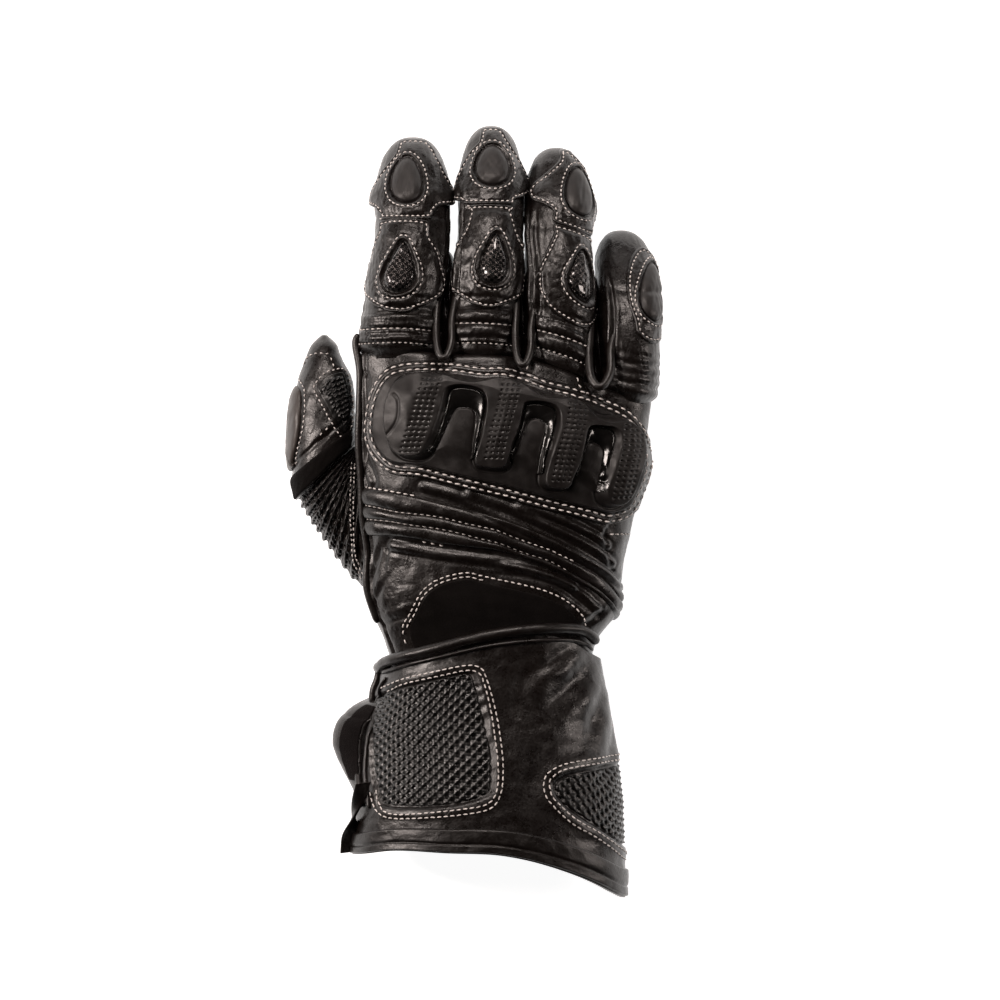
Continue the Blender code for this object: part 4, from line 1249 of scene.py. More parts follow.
class CuffSkin(Skin):
    """The flared cuff, with a shaped top edge and hem, and two windows for its lattices."""

    length = 90.0
    # w and v of the middle, half length, turn in degrees, depth and width of each fold
    CREASES = (
        (34.0, 16.0, 16.0, -52.0, 1.6, 3.4),
        (44.0, 26.0, 12.0, -70.0, 1.3, 2.8),
        (24.0, 10.0, 12.0, -38.0, 0.9, 2.4),
        (12.0, 22.0, 18.0, -80.0, 0.8, 4.0),
        (52.0, 40.0, 14.0, -62.0, 0.9, 3.0),
        (16.0, 52.0, 20.0, -86.0, 0.7, 4.5),
        (-50.0, 12.0, 10.0, 40.0, 0.7, 2.0),
    )
    WIDTH, DEPTH, TOP_Y = 112.0, 66.0, -8.0
    SECTIONS = Table(
        ("along", "centre", "half", "low", "top"),
        (
            (0.00, -0.058, 0.392, 0.030, 0.830),
            (0.18, -0.055, 0.418, 0.015, 0.845),
            (0.36, -0.062, 0.452, 0.000, 0.870),
            (0.56, -0.056, 0.468, 0.000, 0.920),
            (0.78, -0.058, 0.480, 0.000, 0.970),
            (1.00, -0.062, 0.484, 0.000, 1.000),
        ),
    )
    TOP_LINE = Table(
        ("across", "value"),
        ((-1.00, -0.060), (-0.60, 0.012), (-0.10, 0.088), (0.35, 0.125), (0.70, 0.100), (1.00, 0.010)),
    )
    HEM_LINE = Table(
        ("across", "value"),
        (
            (-1.00, 0.148), (-0.75, 0.176), (-0.30, 0.173), (0.12, 0.160), (0.42, 0.118),
            (0.72, 0.050), (1.00, -0.045),
        ),
    )

    def __init__(self, trim: "Cuff") -> None:
        """Keeps the outlines of what is sewn on the cuff, and measures it.

        Args:
            trim: the cuff's own outlines.
        """
        self.trim = trim
        self.left = self.right = np.zeros((0, 2))
        super().__init__()

    def windows(self) -> tuple[Array, Array]:
        """Outlines of the left and right lattice, the right one closed behind the silhouette.

        Returns:
            Two outlines as rows of v and w.
        """
        edge = self.spot(smooth(self.trim.right_patch, 1.0))
        behind = self.arc(edge[::-1, 0], np.radians(np.full(len(edge), 118.0)))
        side = np.stack((edge[::-1, 0], behind), -1)
        ends = side[[0, len(side) // 2, -1]]
        return self.spot(smooth(self.trim.patch, 0.5, True)), smooth(np.vstack((edge[::3], ends)), 0.5, True)

    def _y(self, along: Array, across: Array, up: Array) -> Array:
        """Place along the arm of a point of the cuff, between its shaped edges.

        Args:
            along: shares of the length.
            across: share across, from -1 to 1.
            up: share upwards, from -1 to 1.

        Returns:
            Millimetres along the arm.
        """
        edge = self.TOP_LINE.read("value", across) * (1 - along) * ease(-0.35, 0.35, up)
        hem = self.HEM_LINE.read("value", across) * along
        return self.TOP_Y - (along - edge - hem) * self.length

    def point(self, along: Array, angle: Array, lift: Array) -> Array:
        """Oval between the section's underside and top.

        Args:
            along: shares of the length.
            angle: angles from +X, in radians.
            lift: millimetres off the leather.

        Returns:
            The points, in pattern millimetres.
        """
        read = self.SECTIONS.read
        half = read("half", along) * self.WIDTH + lift
        low, top = read("low", along) * self.DEPTH - lift, read("top", along) * self.DEPTH + lift
        across, up = oval(angle, 2.3, 3.0)
        z = (low + top) / 2 + (top - low) / 2 * up - HAND.sink
        x = read("centre", along) * self.WIDTH + half * across
        return np.stack(np.broadcast_arrays(x, self._y(along, across, up), np.maximum(z, 0.0)), -1)

    def find(self, x: Array, y: Array) -> tuple[Array, Array]:
        """Four rounds of correcting the share along by how far the edges shift the place.

        Args:
            x: places across the palm, in millimetres.
            y: places along the fingers, in millimetres.

        Returns:
            Shares of the length and turns in radians.
        """
        along = np.clip((self.TOP_Y - y) / self.length, 0, 1)
        across = np.zeros_like(along)
        for _ in range(4):
            half = self.SECTIONS.read("half", along) * self.WIDTH
            across = np.clip((x - self.SECTIONS.read("centre", along) * self.WIDTH) / half, -1, 1)
            up = (1 - np.abs(across) ** 2.3) ** (1 / 2.3)
            along = along + (self._y(along, across, up) - y) / self.length
        return along, np.arcsin(np.sign(across) * np.abs(across) ** 1.15)

    def folds(self, v: Array, w: Array) -> Array:
        """Broad dents and folds of a soft cuff, more of them towards the little finger's side.

        Args:
            v: millimetres along the skin.
            w: millimetres round it from its top.

        Returns:
            Heights in millimetres.
        """
        v, w = np.broadcast_arrays(np.asarray(v, float), np.asarray(w, float))
        self.left, self.right = self.windows()
        height = 0.35 * ripple(v, w, 34.0, 91) + 0.12 * ripple(v, w, 9.0, 92)
        height += 0.03 * ripple(v, w, 3.4, 93)
        for loop in (self.left, self.right):
            depth = inside_depth(v, w, loop[::2])
            height -= 1.15 * ease(-1.2, -0.5, depth)
            height += 0.45 * bell(depth + 3.5, 2.2)
        return height - creases(w, v, self.CREASES, 0.04, 0.55, 2.1)


def closed_rings(points: Array, looped: bool = False) -> tuple[Array, list]:
    """Faces over a stack of rings, with a fan to the middle of the first and of the last.

    Args:
        points: rings x places x 3, each ring clockwise when looked at along the stack.
        looped: whether the last ring joins the first instead, as round the wall of an open tube.

    Returns:
        The points with the two middles added, and the faces, facing outwards.
    """
    rings, around = points.shape[:2]
    i, j = np.meshgrid(np.arange(rings if looped else rings - 1), np.arange(around), indexing="ij")
    a, b, on = i * around + j, i * around + (j + 1) % around, (i + 1) % rings * around
    quads = (a, b, on + (j + 1) % around, on + j)
    faces = np.stack(quads, -1).reshape(-1, 4).tolist()
    if looped:
        return points.reshape(-1, 3), faces
    count, last = rings * around, (rings - 1) * around
    faces += [((k + 1) % around, k, count) for k in range(around)]
    faces += [(last + k, last + (k + 1) % around, count + 1) for k in range(around)]
    middles = np.stack((points[0].mean(0), points[-1].mean(0)))
    return np.vstack((points.reshape(-1, 3), middles)), faces


def closed_slab(top: Array, bottom: Array) -> tuple[Array, list]:
    """Faces over a grid of top points and a like grid of bottom points, joined round their rims.

    Args:
        top: rows x columns x 3.
        bottom: rows x columns x 3.

    Returns:
        The points and the faces, facing outwards where top's rows x columns does.
    """
    rows, columns = top.shape[:2]
    i, j = np.meshgrid(np.arange(rows - 1), np.arange(columns - 1), indexing="ij")
    a = (i * columns + j).ravel()
    quads = np.stack((a, a + 1, a + columns + 1, a + columns), -1)
    size = rows * columns
    rim = [j for j in range(columns)] + [i * columns + columns - 1 for i in range(1, rows)]
    rim += [size - 1 - j for j in range(1, columns)] + [i * columns for i in range(rows - 2, 0, -1)]
    ring = np.array(rim)
    ahead = np.roll(ring, -1)
    walls = np.stack((ring + size, ahead + size, ahead, ring), -1)
    faces = np.vstack((quads, quads[:, ::-1] + size, walls)).tolist()
    return np.vstack((top.reshape(-1, 3), bottom.reshape(-1, 3))), faces


def make_piece(
    name: str,
    points: Array,
    faces: list,
    finish: Finish,
    *replaced: str,
    turn_out: bool = False,
    weave: Optional[Array] = None,
    second: Optional[Finish] = None,
    on_second: Optional[Array] = None,
) -> bpy.types.Object:
    """Makes one piece, lets it ride on the glove and has it stand for its CAD nodes.

    Args:
        name: the piece's name.
        points: its points in pattern millimetres.
        faces: its faces.
        finish: what it is made of.
        replaced: the CAD nodes that it stands for.
        turn_out: whether its normals are worked out afresh.
        weave: a UV pair for each point, in millimetres.
        second: another finish of the same piece.
        on_second: for each point, whether it takes the second finish.

    Returns:
        The new object.
    """
    mesh = bpy.data.meshes.new(name)
    placed = (np.asarray(points, float).reshape(-1, 3) + SHIFT) * MM
    mesh.from_pydata(placed.tolist(), [], faces)
    mesh.materials.append(finish.material())
    if second is not None:
        mesh.materials.append(second.material())
        first = np.array([face[0] for face in faces])
        mesh.polygons.foreach_set("material_index", np.asarray(on_second)[first].astype(np.int32))
    if weave is not None:
        layer = mesh.uv_layers.new(name="weave")
        corner = np.empty(len(mesh.loops), np.int32)
        mesh.loops.foreach_get("vertex_index", corner)
        layer.data.foreach_set("uv", np.asarray(weave, np.float32)[corner].ravel())
    if turn_out:
        work = bmesh.new()
        work.from_mesh(mesh)
        bmesh.ops.remove_doubles(work, verts=work.verts, dist=1e-7)
        bmesh.ops.recalc_face_normals(work, faces=work.faces)
        work.to_mesh(mesh)
        work.free()
    mesh.shade_smooth()
    piece = bpy.data.objects.new(name, mesh)
    bpy.context.scene.collection.objects.link(piece)
    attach(piece, BODY)
    if replaced:
        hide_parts(*replaced)
    LOG.info("%s: %d faces", name, len(mesh.polygons))
    return piece


def cord_along(path: Array, radius: Array, sides: int = 12, squash: float = 1.0) -> Array:
    """Rings of a round section carried along a path, upright wherever the path is level.

    Each ring is the path's point plus cosine times the level side plus sine times the upright.

    Args:
        path: points of the middle line.
        radius: radius at each point, or one for all.
        sides: points round.
        squash: height as a share of width.

    Returns:
        Rings x sides x 3.
    """
    ahead = np.gradient(path, axis=0)
    ahead /= np.linalg.norm(ahead, axis=1, keepdims=True)
    side = np.cross(ahead, (0.0, 0.0, 1.0))
    weak = np.linalg.norm(side, axis=1) < 0.05
    side[weak] = (1.0, 0.0, 0.0)
    side /= np.linalg.norm(side, axis=1, keepdims=True)
    up = np.cross(side, ahead)
    turn = np.linspace(0, 2 * np.pi, sides, endpoint=False)
    radius = np.broadcast_to(np.asarray(radius, float), (len(path),))[:, None, None]
    spokes = side[:, None] * np.cos(turn)[None, :, None] + squash * up[:, None] * np.sin(turn)[None, :, None]
    return path[:, None] + radius * spokes


def make_cord(
    name: str, path: Array, radius: Array, sides: int, finish: Finish, *replaced: str
) -> bpy.types.Object:
    """Makes one rolled edge as a closed tube along a path.

    Args:
        name: the piece's name.
        path: points of the middle line, in pattern millimetres.
        radius: radius at each point, or one for all.
        sides: points round.
        finish: what it is made of.
        replaced: the CAD nodes that it stands for.

    Returns:
        The new object.
    """
    return make_piece(name, *closed_rings(cord_along(path, radius, sides)), finish, *replaced, turn_out=True)


class Seam(Enum):
    """Kinds of stitch row: length of a stitch, its pitch and the thread's radius, in mm."""

    GUARD = (2.15, 3.25, 0.33)
    BACK = (1.75, 2.60, 0.29)
    FINE = (1.25, 2.15, 0.26)


@dataclass
class Sewing:
    """Gathers the stitches of one part of the glove into one piece.

    Args:
        name: the piece's name.
        finish: the thread.
        parts: points of the stitches so far, one array for each row.
    """

    name: str
    finish: Finish
    parts: list[Array] = field(default_factory=list)
    RINGS, SIDES = 6, 6

    def stitch(self) -> Array:
        """One stitch of unit length: a capsule bowed up in its middle, as rings x sides x 3.

        The middle line rises as 1 - (2u)^2 and the radius is an ellipse of u, held off nought.

        Returns:
            Rings of points.
        """
        u = np.linspace(-0.5, 0.5, self.RINGS)
        fat = np.sqrt(np.clip(1 - (2 * u) ** 6, 0.10, 1))
        turn = np.linspace(0, 2 * np.pi, self.SIDES, endpoint=False)
        ring = np.stack((np.zeros_like(turn), np.cos(turn), np.sin(turn)), -1)
        rings = fat[:, None, None] * ring[None]
        rings[..., 0] = u[:, None]
        return rings

    def plan(self, skin: Skin, path: Sequence, seam: Seam, lift: Lift = 0.0, closed: bool = False) -> None:
        """Sews one row through guide points seen from above.

        Args:
            skin: the leather it is sewn on.
            path: guide points, rows of x and y.
            seam: the kind of row.
            lift: millimetres off the leather, or how they follow from cloth coordinates.
            closed: whether the row comes back to its start.
        """
        self.along(skin, smooth(skin.spot(smooth(path, 1.0, closed)), 0.4, closed), seam, lift, closed)

    def along(self, skin: Skin, curve: Array, seam: Seam, lift: Lift = 0.0, closed: bool = False) -> None:
        """Places stitches at equal steps of true length along a curve in cloth coordinates.

        Args:
            skin: the leather it is sewn on.
            curve: closely spaced cloth coordinates.
            seam: the kind of row.
            lift: millimetres off the leather, or how they follow from cloth coordinates.
            closed: whether the row comes back to its start.
        """
        size, pitch, thick = seam.value
        curve = np.vstack((curve, curve[:1])) if closed else curve
        if callable(lift):
            lift = lift(curve[:, 0], curve[:, 1])
        lift = np.broadcast_to(np.asarray(lift, float), (len(curve),))
        line = skin.lay(curve[:, 0], curve[:, 1], lift)
        lengths = np.concatenate(([0.0], np.cumsum(np.linalg.norm(np.diff(line, axis=0), axis=1))))
        count = int(lengths[-1] / pitch)
        if count < 1:
            return
        at = (np.arange(count) + 0.5) * lengths[-1] / count
        v, w = (np.interp(at, lengths, curve[:, k]) for k in (0, 1))
        middle = skin.lay(v, w, np.interp(at, lengths, lift))
        out = skin.normal(v, w)
        ahead = np.stack(
            [np.interp(at + 0.4, lengths, axis) - np.interp(at - 0.4, lengths, axis) for axis in line.T], -1
        )
        ahead -= out * np.sum(ahead * out, -1, keepdims=True)
        ahead /= np.linalg.norm(ahead, axis=-1, keepdims=True) + 1e-12
        self.add(middle, ahead, out, size, thick)

    def add(self, middle: Array, ahead: Array, out: Array, size: float, thick: float) -> None:
        """Puts a stitch at each middle, lying along its direction and bowed outwards.

        Args:
            middle: the stitches' middles.
            ahead: unit vectors along them.
            out: unit vectors off the leather.
            size: their lengths, in millimetres.
            thick: radius of the thread, in millimetres.
        """
        rng = np.random.default_rng(len(self.parts) + 7)
        side = np.cross(out, ahead)
        tilt = rng.normal(0, 0.07, len(middle))[:, None]
        ahead, side = ahead + tilt * side, side - tilt * ahead
        shape = self.stitch()
        long = size * rng.uniform(0.92, 1.06, len(middle))
        bow = 1.1 * thick * (1 - (2 * shape[..., 0]) ** 2) - 0.55 * thick
        placed = (
            middle[:, None, None]
            + ahead[:, None, None] * (shape[..., 0] * long[:, None, None])[..., None]
            + side[:, None, None] * (shape[..., 1] * thick)[None, ..., None]
            + out[:, None, None] * (shape[..., 2] * thick * 0.9 + bow)[None, ..., None]
        )
        self.parts.append(placed.reshape(len(middle), -1, 3))

    def finished(self) -> bpy.types.Object:
        """Makes the piece from all its stitches, each a closed capsule.

        Returns:
            The new object.
        """
        rings, sides = self.RINGS, self.SIDES
        i, j = np.meshgrid(np.arange(rings - 1), np.arange(sides))
        a, b = (i * sides + j).ravel(), (i * sides + (j + 1) % sides).ravel()
        quads = np.stack((a, b, b + sides, a + sides), -1)
        last = (rings - 1) * sides
        points = np.concatenate(self.parts)
        count = len(points)
        starts = (np.arange(count) * rings * sides)[:, None, None]
        faces = (quads[None] + starts).reshape(-1, 4).tolist()
        first = np.arange(sides)[::-1]
        caps = np.stack((first, np.arange(sides) + last))
        faces += (caps[None] + starts).reshape(-1, sides).tolist()
        return make_piece(self.name, points.reshape(-1, 3), faces, self.finish)


@dataclass
class Laid:
    """A piece sewn flat on a skin inside a closed outline in cloth coordinates.

    Its rings run from the outline to its middle: ring k stands where the line from an outline point
    to the middle has gone depth k, and its height is a function of the true depth from the edge.

    Args:
        name: the piece's name.
        skin: the leather it lies on.
        outline: closed curve in cloth coordinates.
        height: height off the leather from depth, v and w.
        finish: what it is made of.
        replaced: the CAD nodes that it stands for.
        depths: depths of the rings near the edge.
        inner: number of rings from there to the middle.
        foot: how far the edge sinks into the leather.
        middle: cloth coordinates of the middle, or None for the mean.
        weave: whether it gets a UV map in millimetres.
        second: another finish of the same piece.
        where: which cloth coordinates take the second finish.
    """

    name: str
    skin: Skin
    outline: Array
    height: Height
    finish: Finish
    replaced: tuple[str, ...] = ()
    depths: tuple[float, ...] = (0.0, 0.08, 0.2, 0.38, 0.6, 0.85, 1.1, 1.35, 1.6, 1.9, 2.3, 2.8)
    inner: int = 22
    foot: float = 0.35
    middle: Optional[tuple[float, float]] = None
    weave: bool = False
    second: Optional[Finish] = None
    where: Optional[Callable[[Array, Array], Array]] = None

    def over(self, extra: float = 0.0) -> Callable[[Array, Array], Array]:
        """How high the piece stands at cloth coordinates, with a little more for the thread.

        Args:
            extra: millimetres more.

        Returns:
            A function of v and w.
        """

        def lift(v: Array, w: Array) -> Array:
            """The height at the depth inside the outline, plus the extra."""
            return self.height(np.maximum(inside_depth(v, w, self.outline), 0.0), v, w) + extra

        return lift

    def rings(self) -> Array:
        """Cloth coordinates of every ring, from the outline to close round the middle.

        Returns:
            One row of v and w for each point of each ring.
        """
        middle = np.asarray(self.middle) if self.middle is not None else self.outline.mean(0)
        spoke = middle - self.outline
        long = np.linalg.norm(spoke, axis=1, keepdims=True)
        ahead = np.roll(self.outline, -1, 0) - np.roll(self.outline, 1, 0)
        ahead /= np.linalg.norm(ahead, axis=1, keepdims=True) + 1e-12
        slant = np.abs(ahead[:, 0:1] * spoke[:, 1:2] - ahead[:, 1:2] * spoke[:, 0:1]) / long
        slant = np.maximum(slant, 0.45)
        last = np.minimum(self.depths[-1] / slant / long, 0.6)
        near = [np.minimum(d / slant / long, last * (0.5 + 0.5 * d / self.depths[-1])) for d in self.depths]
        far = [last + (0.985 - last) * k / self.inner for k in range(1, self.inner + 1)]
        return np.stack([self.outline + spoke * share for share in near + far])

    def build(self) -> bpy.types.Object:
        """Makes the piece: a rim sunk into the leather, the top over it, and a hidden underside.

        Returns:
            The new object.
        """
        rings = self.rings()
        depth = np.maximum(inside_depth(rings[..., 0], rings[..., 1], self.outline), 0.0)
        depth[0] = 0.0
        lift = self.height(depth, rings[..., 0], rings[..., 1])
        lift[0] = -self.foot
        rim = self.height(np.zeros(len(self.outline)), self.outline[:, 0], self.outline[:, 1])
        v = np.concatenate((rings[:1, :, 0], rings[..., 0]))
        w = np.concatenate((rings[:1, :, 1], rings[..., 1]))
        lift = np.concatenate((lift[:1], rim[None], lift[1:]))
        points = self.skin.lay(v, w, lift)
        x, y = self.outline[:, 0], self.outline[:, 1]
        if np.sum(x * np.roll(y, -1) - np.roll(x, -1) * y) > 0:
            points, v, w = points[:, ::-1], v[:, ::-1], w[:, ::-1]
        verts, faces = closed_rings(points)
        weave = None
        if self.weave:
            flat = np.stack((w.ravel(), v.ravel()), -1)
            weave = np.vstack((flat, flat[:1], flat[-1:]))
        marked = None
        if self.where is not None:
            marked = np.append(self.where(v, w).ravel(), (False, False))
        return make_piece(self.name, verts, faces, self.finish, *self.replaced,
                          weave=weave, second=self.second, on_second=marked)


@dataclass
class Strip:
    """A piece sewn on a skin in one or more bands between lines in cloth coordinates.

    Point i, j stands the j-th share of the way from one line's i-th point to the next line's.

    Args:
        name: the piece's name.
        skin: the leather it lies on.
        lines: the lines from the lowest to the highest, each of any number of guide points.
        height: height off the leather from the share across counted in bands, v and w.
        finish: what it is made of.
        replaced: the CAD nodes that it stands for.
        columns: points along it.
        rows: points across each band.
        foot: how far its rim sinks into the leather.
    """

    name: str
    skin: Skin
    lines: Sequence[Sequence]
    height: Height
    finish: Finish
    replaced: tuple[str, ...] = ()
    columns: int = 200
    rows: int = 22
    foot: float = 0.35

    def build(self) -> bpy.types.Object:
        """Makes the piece, closed round its rim and underneath.

        Returns:
            The new object.
        """
        curves = []
        for line in self.lines:
            curve = smooth(line, 0.5)
            at = np.linspace(0, len(curve) - 1, self.columns)
            curves.append(np.stack([np.interp(at, np.arange(len(curve)), curve[:, k]) for k in (
                0, 1,
            )], -1))
        stack = np.stack(curves)
        share = np.linspace(0, len(curves) - 1, self.rows * (len(curves) - 1) + 1)
        i = np.minimum(share.astype(int), len(curves) - 2)
        u = (share - i)[:, None, None]
        cloth = stack[i] * (1 - u) + stack[i + 1] * u
        lift = self.height(np.broadcast_to(share[:, None], cloth.shape[:2]), cloth[..., 0], cloth[..., 1])
        lift = np.array(lift)
        lift[[0, -1]] = -self.foot
        lift[:, [0, -1]] = -self.foot
        top = self.skin.lay(cloth[..., 0], cloth[..., 1], lift)
        bottom = self.skin.lay(cloth[..., 0], cloth[..., 1], -self.foot - 0.2)
        return make_piece(self.name, *closed_slab(top, bottom), self.finish, *self.replaced, turn_out=True)


@dataclass(frozen=True)
class PadSizes:
    """Sizes of one pad of a finger.

    Args:
        middle: where its middle is, as a share of the finger's length.
        length: along the finger, in millimetres.
        width: across it, in millimetres.
        roll: how far it is turned towards +X, in degrees.
    """

    middle: float
    length: float
    width: float
    roll: float


@dataclass(frozen=True)
class FingerSizes:
    """Sizes of one finger, in millimetres and degrees.

    Args:
        name: which finger.
        length: from the web line to the tip.
        width: across the stall.
        depth: through the stall.
        place: across the palm, as a share of the hand's width.
        flare: how much wider the root is, as a share.
        lean: how far the tip leans aside.
        bow: how far the middle bows aside.
        roll: how far the trim is turned towards +X.
        seed: seed of its folds.
        tip_pad: the pad near the tip.
        slider: the hard pad on the middle joint.
        tip_panel: outline of the panel at the tip, as share along and degrees from the top.
        back_panel: outline of the panel behind it, in the same way.
        wings: places of the tip panel's raised corners, in the same way.
        pleats: lengthwise folds of the sides, in millimetres round from the top.
        ribs: the lines between the ribs at the root, as shares along.
        rib_reach: how far the ribs reach round, in degrees from the top.
    """

    name: str
    length: float
    width: float
    depth: float
    place: float
    flare: float
    lean: float
    bow: float
    roll: float
    seed: int
    tip_pad: PadSizes
    slider: Optional[PadSizes]
    tip_panel: Rows
    back_panel: Rows
    wings: Rows
    pleats: tuple[float, ...]
    ribs: tuple[float, ...]
    rib_reach: tuple[float, float]


# Half outline of an egg pad and of a teardrop: share of the length from the lower end, share of
# half the width.
EGG = (
    (0.00, 0.00), (0.03, 0.42), (0.12, 0.76), (0.26, 0.96), (0.40, 1.00), (0.60, 0.90),
    (0.78, 0.70), (0.91, 0.46), (0.98, 0.22), (1.00, 0.00),
)
DROP = (
    (0.00, 0.00), (0.025, 0.40), (0.10, 0.74), (0.24, 0.97), (0.36, 1.00), (0.52, 0.88),
    (0.68, 0.66), (0.83, 0.44), (0.94, 0.26), (1.00, 0.00),
)

FINGERS = (
    FingerSizes(
        "index", 86.8, 29.2, 27.6, -0.362, 0.160, 4.8, 0.0, -9, 11,
        PadSizes(0.785, 18.8, 12.0, -7), PadSizes(0.372, 20.4, 12.2, -9),
        (
            (0.602, 21), (0.640, 34), (0.668, 46), (0.679, 80), (0.700, 92), (0.756, 92),
            (0.783, 76), (0.830, 62), (0.883, 54), (0.940, 50), (0.986, 50), (0.986, -44),
            (0.945, -34), (0.914, -34), (0.875, -43), (0.835, -56), (0.800, -67), (0.766, -80),
            (0.720, -92), (0.679, -92), (0.664, -76), (0.651, -62), (0.620, -53), (0.600, -50),
        ),
        (
            (0.600, 19), (0.530, 29), (0.463, 48), (0.409, 58), (0.337, 68), (0.286, 67),
            (0.244, 54), (0.202, 28), (0.167, 2), (0.179, -25), (0.222, -54), (0.265, -84),
            (0.315, -92), (0.388, -92), (0.462, -78), (0.549, -59), (0.598, -50),
        ),
        ((0.72, 84), (0.70, -84)),
        (15.5, 18.5),
        (0.030, 0.095, 0.165),
        (-72.0, 66.0),
    ),
    FingerSizes(
        "middle", 93.2, 25.6, 27.0, -0.083, 0.211, 3.4, 0.0, 4, 23,
        PadSizes(0.815, 16.4, 12.8, 2), PadSizes(0.404, 20.0, 10.8, 8),
        (
            (0.645, 32), (0.664, 40), (0.676, 54), (0.700, 86), (0.717, 96), (0.767, 94),
            (0.821, 76), (0.888, 53), (0.930, 44), (0.987, 42), (0.988, -38), (0.945, -28),
            (0.918, -28), (0.879, -46), (0.840, -58), (0.801, -69), (0.736, -84), (0.680, -88),
            (0.663, -76), (0.656, -54), (0.643, -39),
        ),
        (
            (0.643, 31), (0.611, 38), (0.527, 54), (0.452, 74), (0.355, 86), (0.283, 82),
            (0.246, 60), (0.216, 34), (0.192, 7), (0.207, -16), (0.245, -44), (0.292, -80),
            (0.361, -90), (0.426, -84), (0.480, -66), (0.530, -50), (0.603, -38), (0.641, -38),
        ),
        ((0.73, 88), (0.69, -80)),
        (14.5, -14.5),
        (0.045, 0.130, 0.195),
        (-50.0, 50.0),
    ),
    FingerSizes(
        "ring", 90.0, 26.2, 26.2, 0.180, 0.137, -1.4, 0.4, 34, 37,
        PadSizes(0.795, 19.0, 13.6, 43), PadSizes(0.428, 19.0, 12.4, 41),
        ((0.642, -2), (0.698, -6), (0.715, -14), (0.728, -24), (0.745, -42), (0.787, -50), (0.824, -43),
         (0.877, -19), (0.937, 4), (0.986, 10), (0.986, 58), (0.940, 68), (0.885, 88), (0.828, 104),
         (0.780, 112), (0.720, 110), (0.685, 98), (0.655, 84), (0.612, 72)),
        ((0.640, -2), (0.594, -6), (0.536, -15), (0.468, -27), (0.411, -35), (0.359, -40), (0.304, -30),
         (0.251, -16), (0.222, 3), (0.206, 26), (0.222, 52), (0.257, 76), (0.310, 98), (0.380, 108),
         (0.450, 102), (0.520, 88), (0.575, 76), (0.609, 71)),
        ((0.74, -40), (0.74, 104)),
        (-10.5, -14.5),
        (0.060, 0.140, 0.212),
        (-40.0, 46.0),
    ),
    FingerSizes(
        "little", 66.9, 23.8, 23.6, 0.411, -0.055, -2.6, 2.2, 50, 53,
        PadSizes(0.620, 23.4, 14.0, 56), None,
        (
            (0.365, 12), (0.442, 8), (0.544, 0), (0.652, -2), (0.760, 2), (0.850, 16), (0.894, 40),
            (0.872, 68), (0.800, 92), (0.650, 106), (0.490, 106), (0.380, 92), (0.330, 68),
            (0.322, 36),
        ),
        (),
        (),
        (-9.0,),
        (),
        (0.0, 0.0),
    ),
)


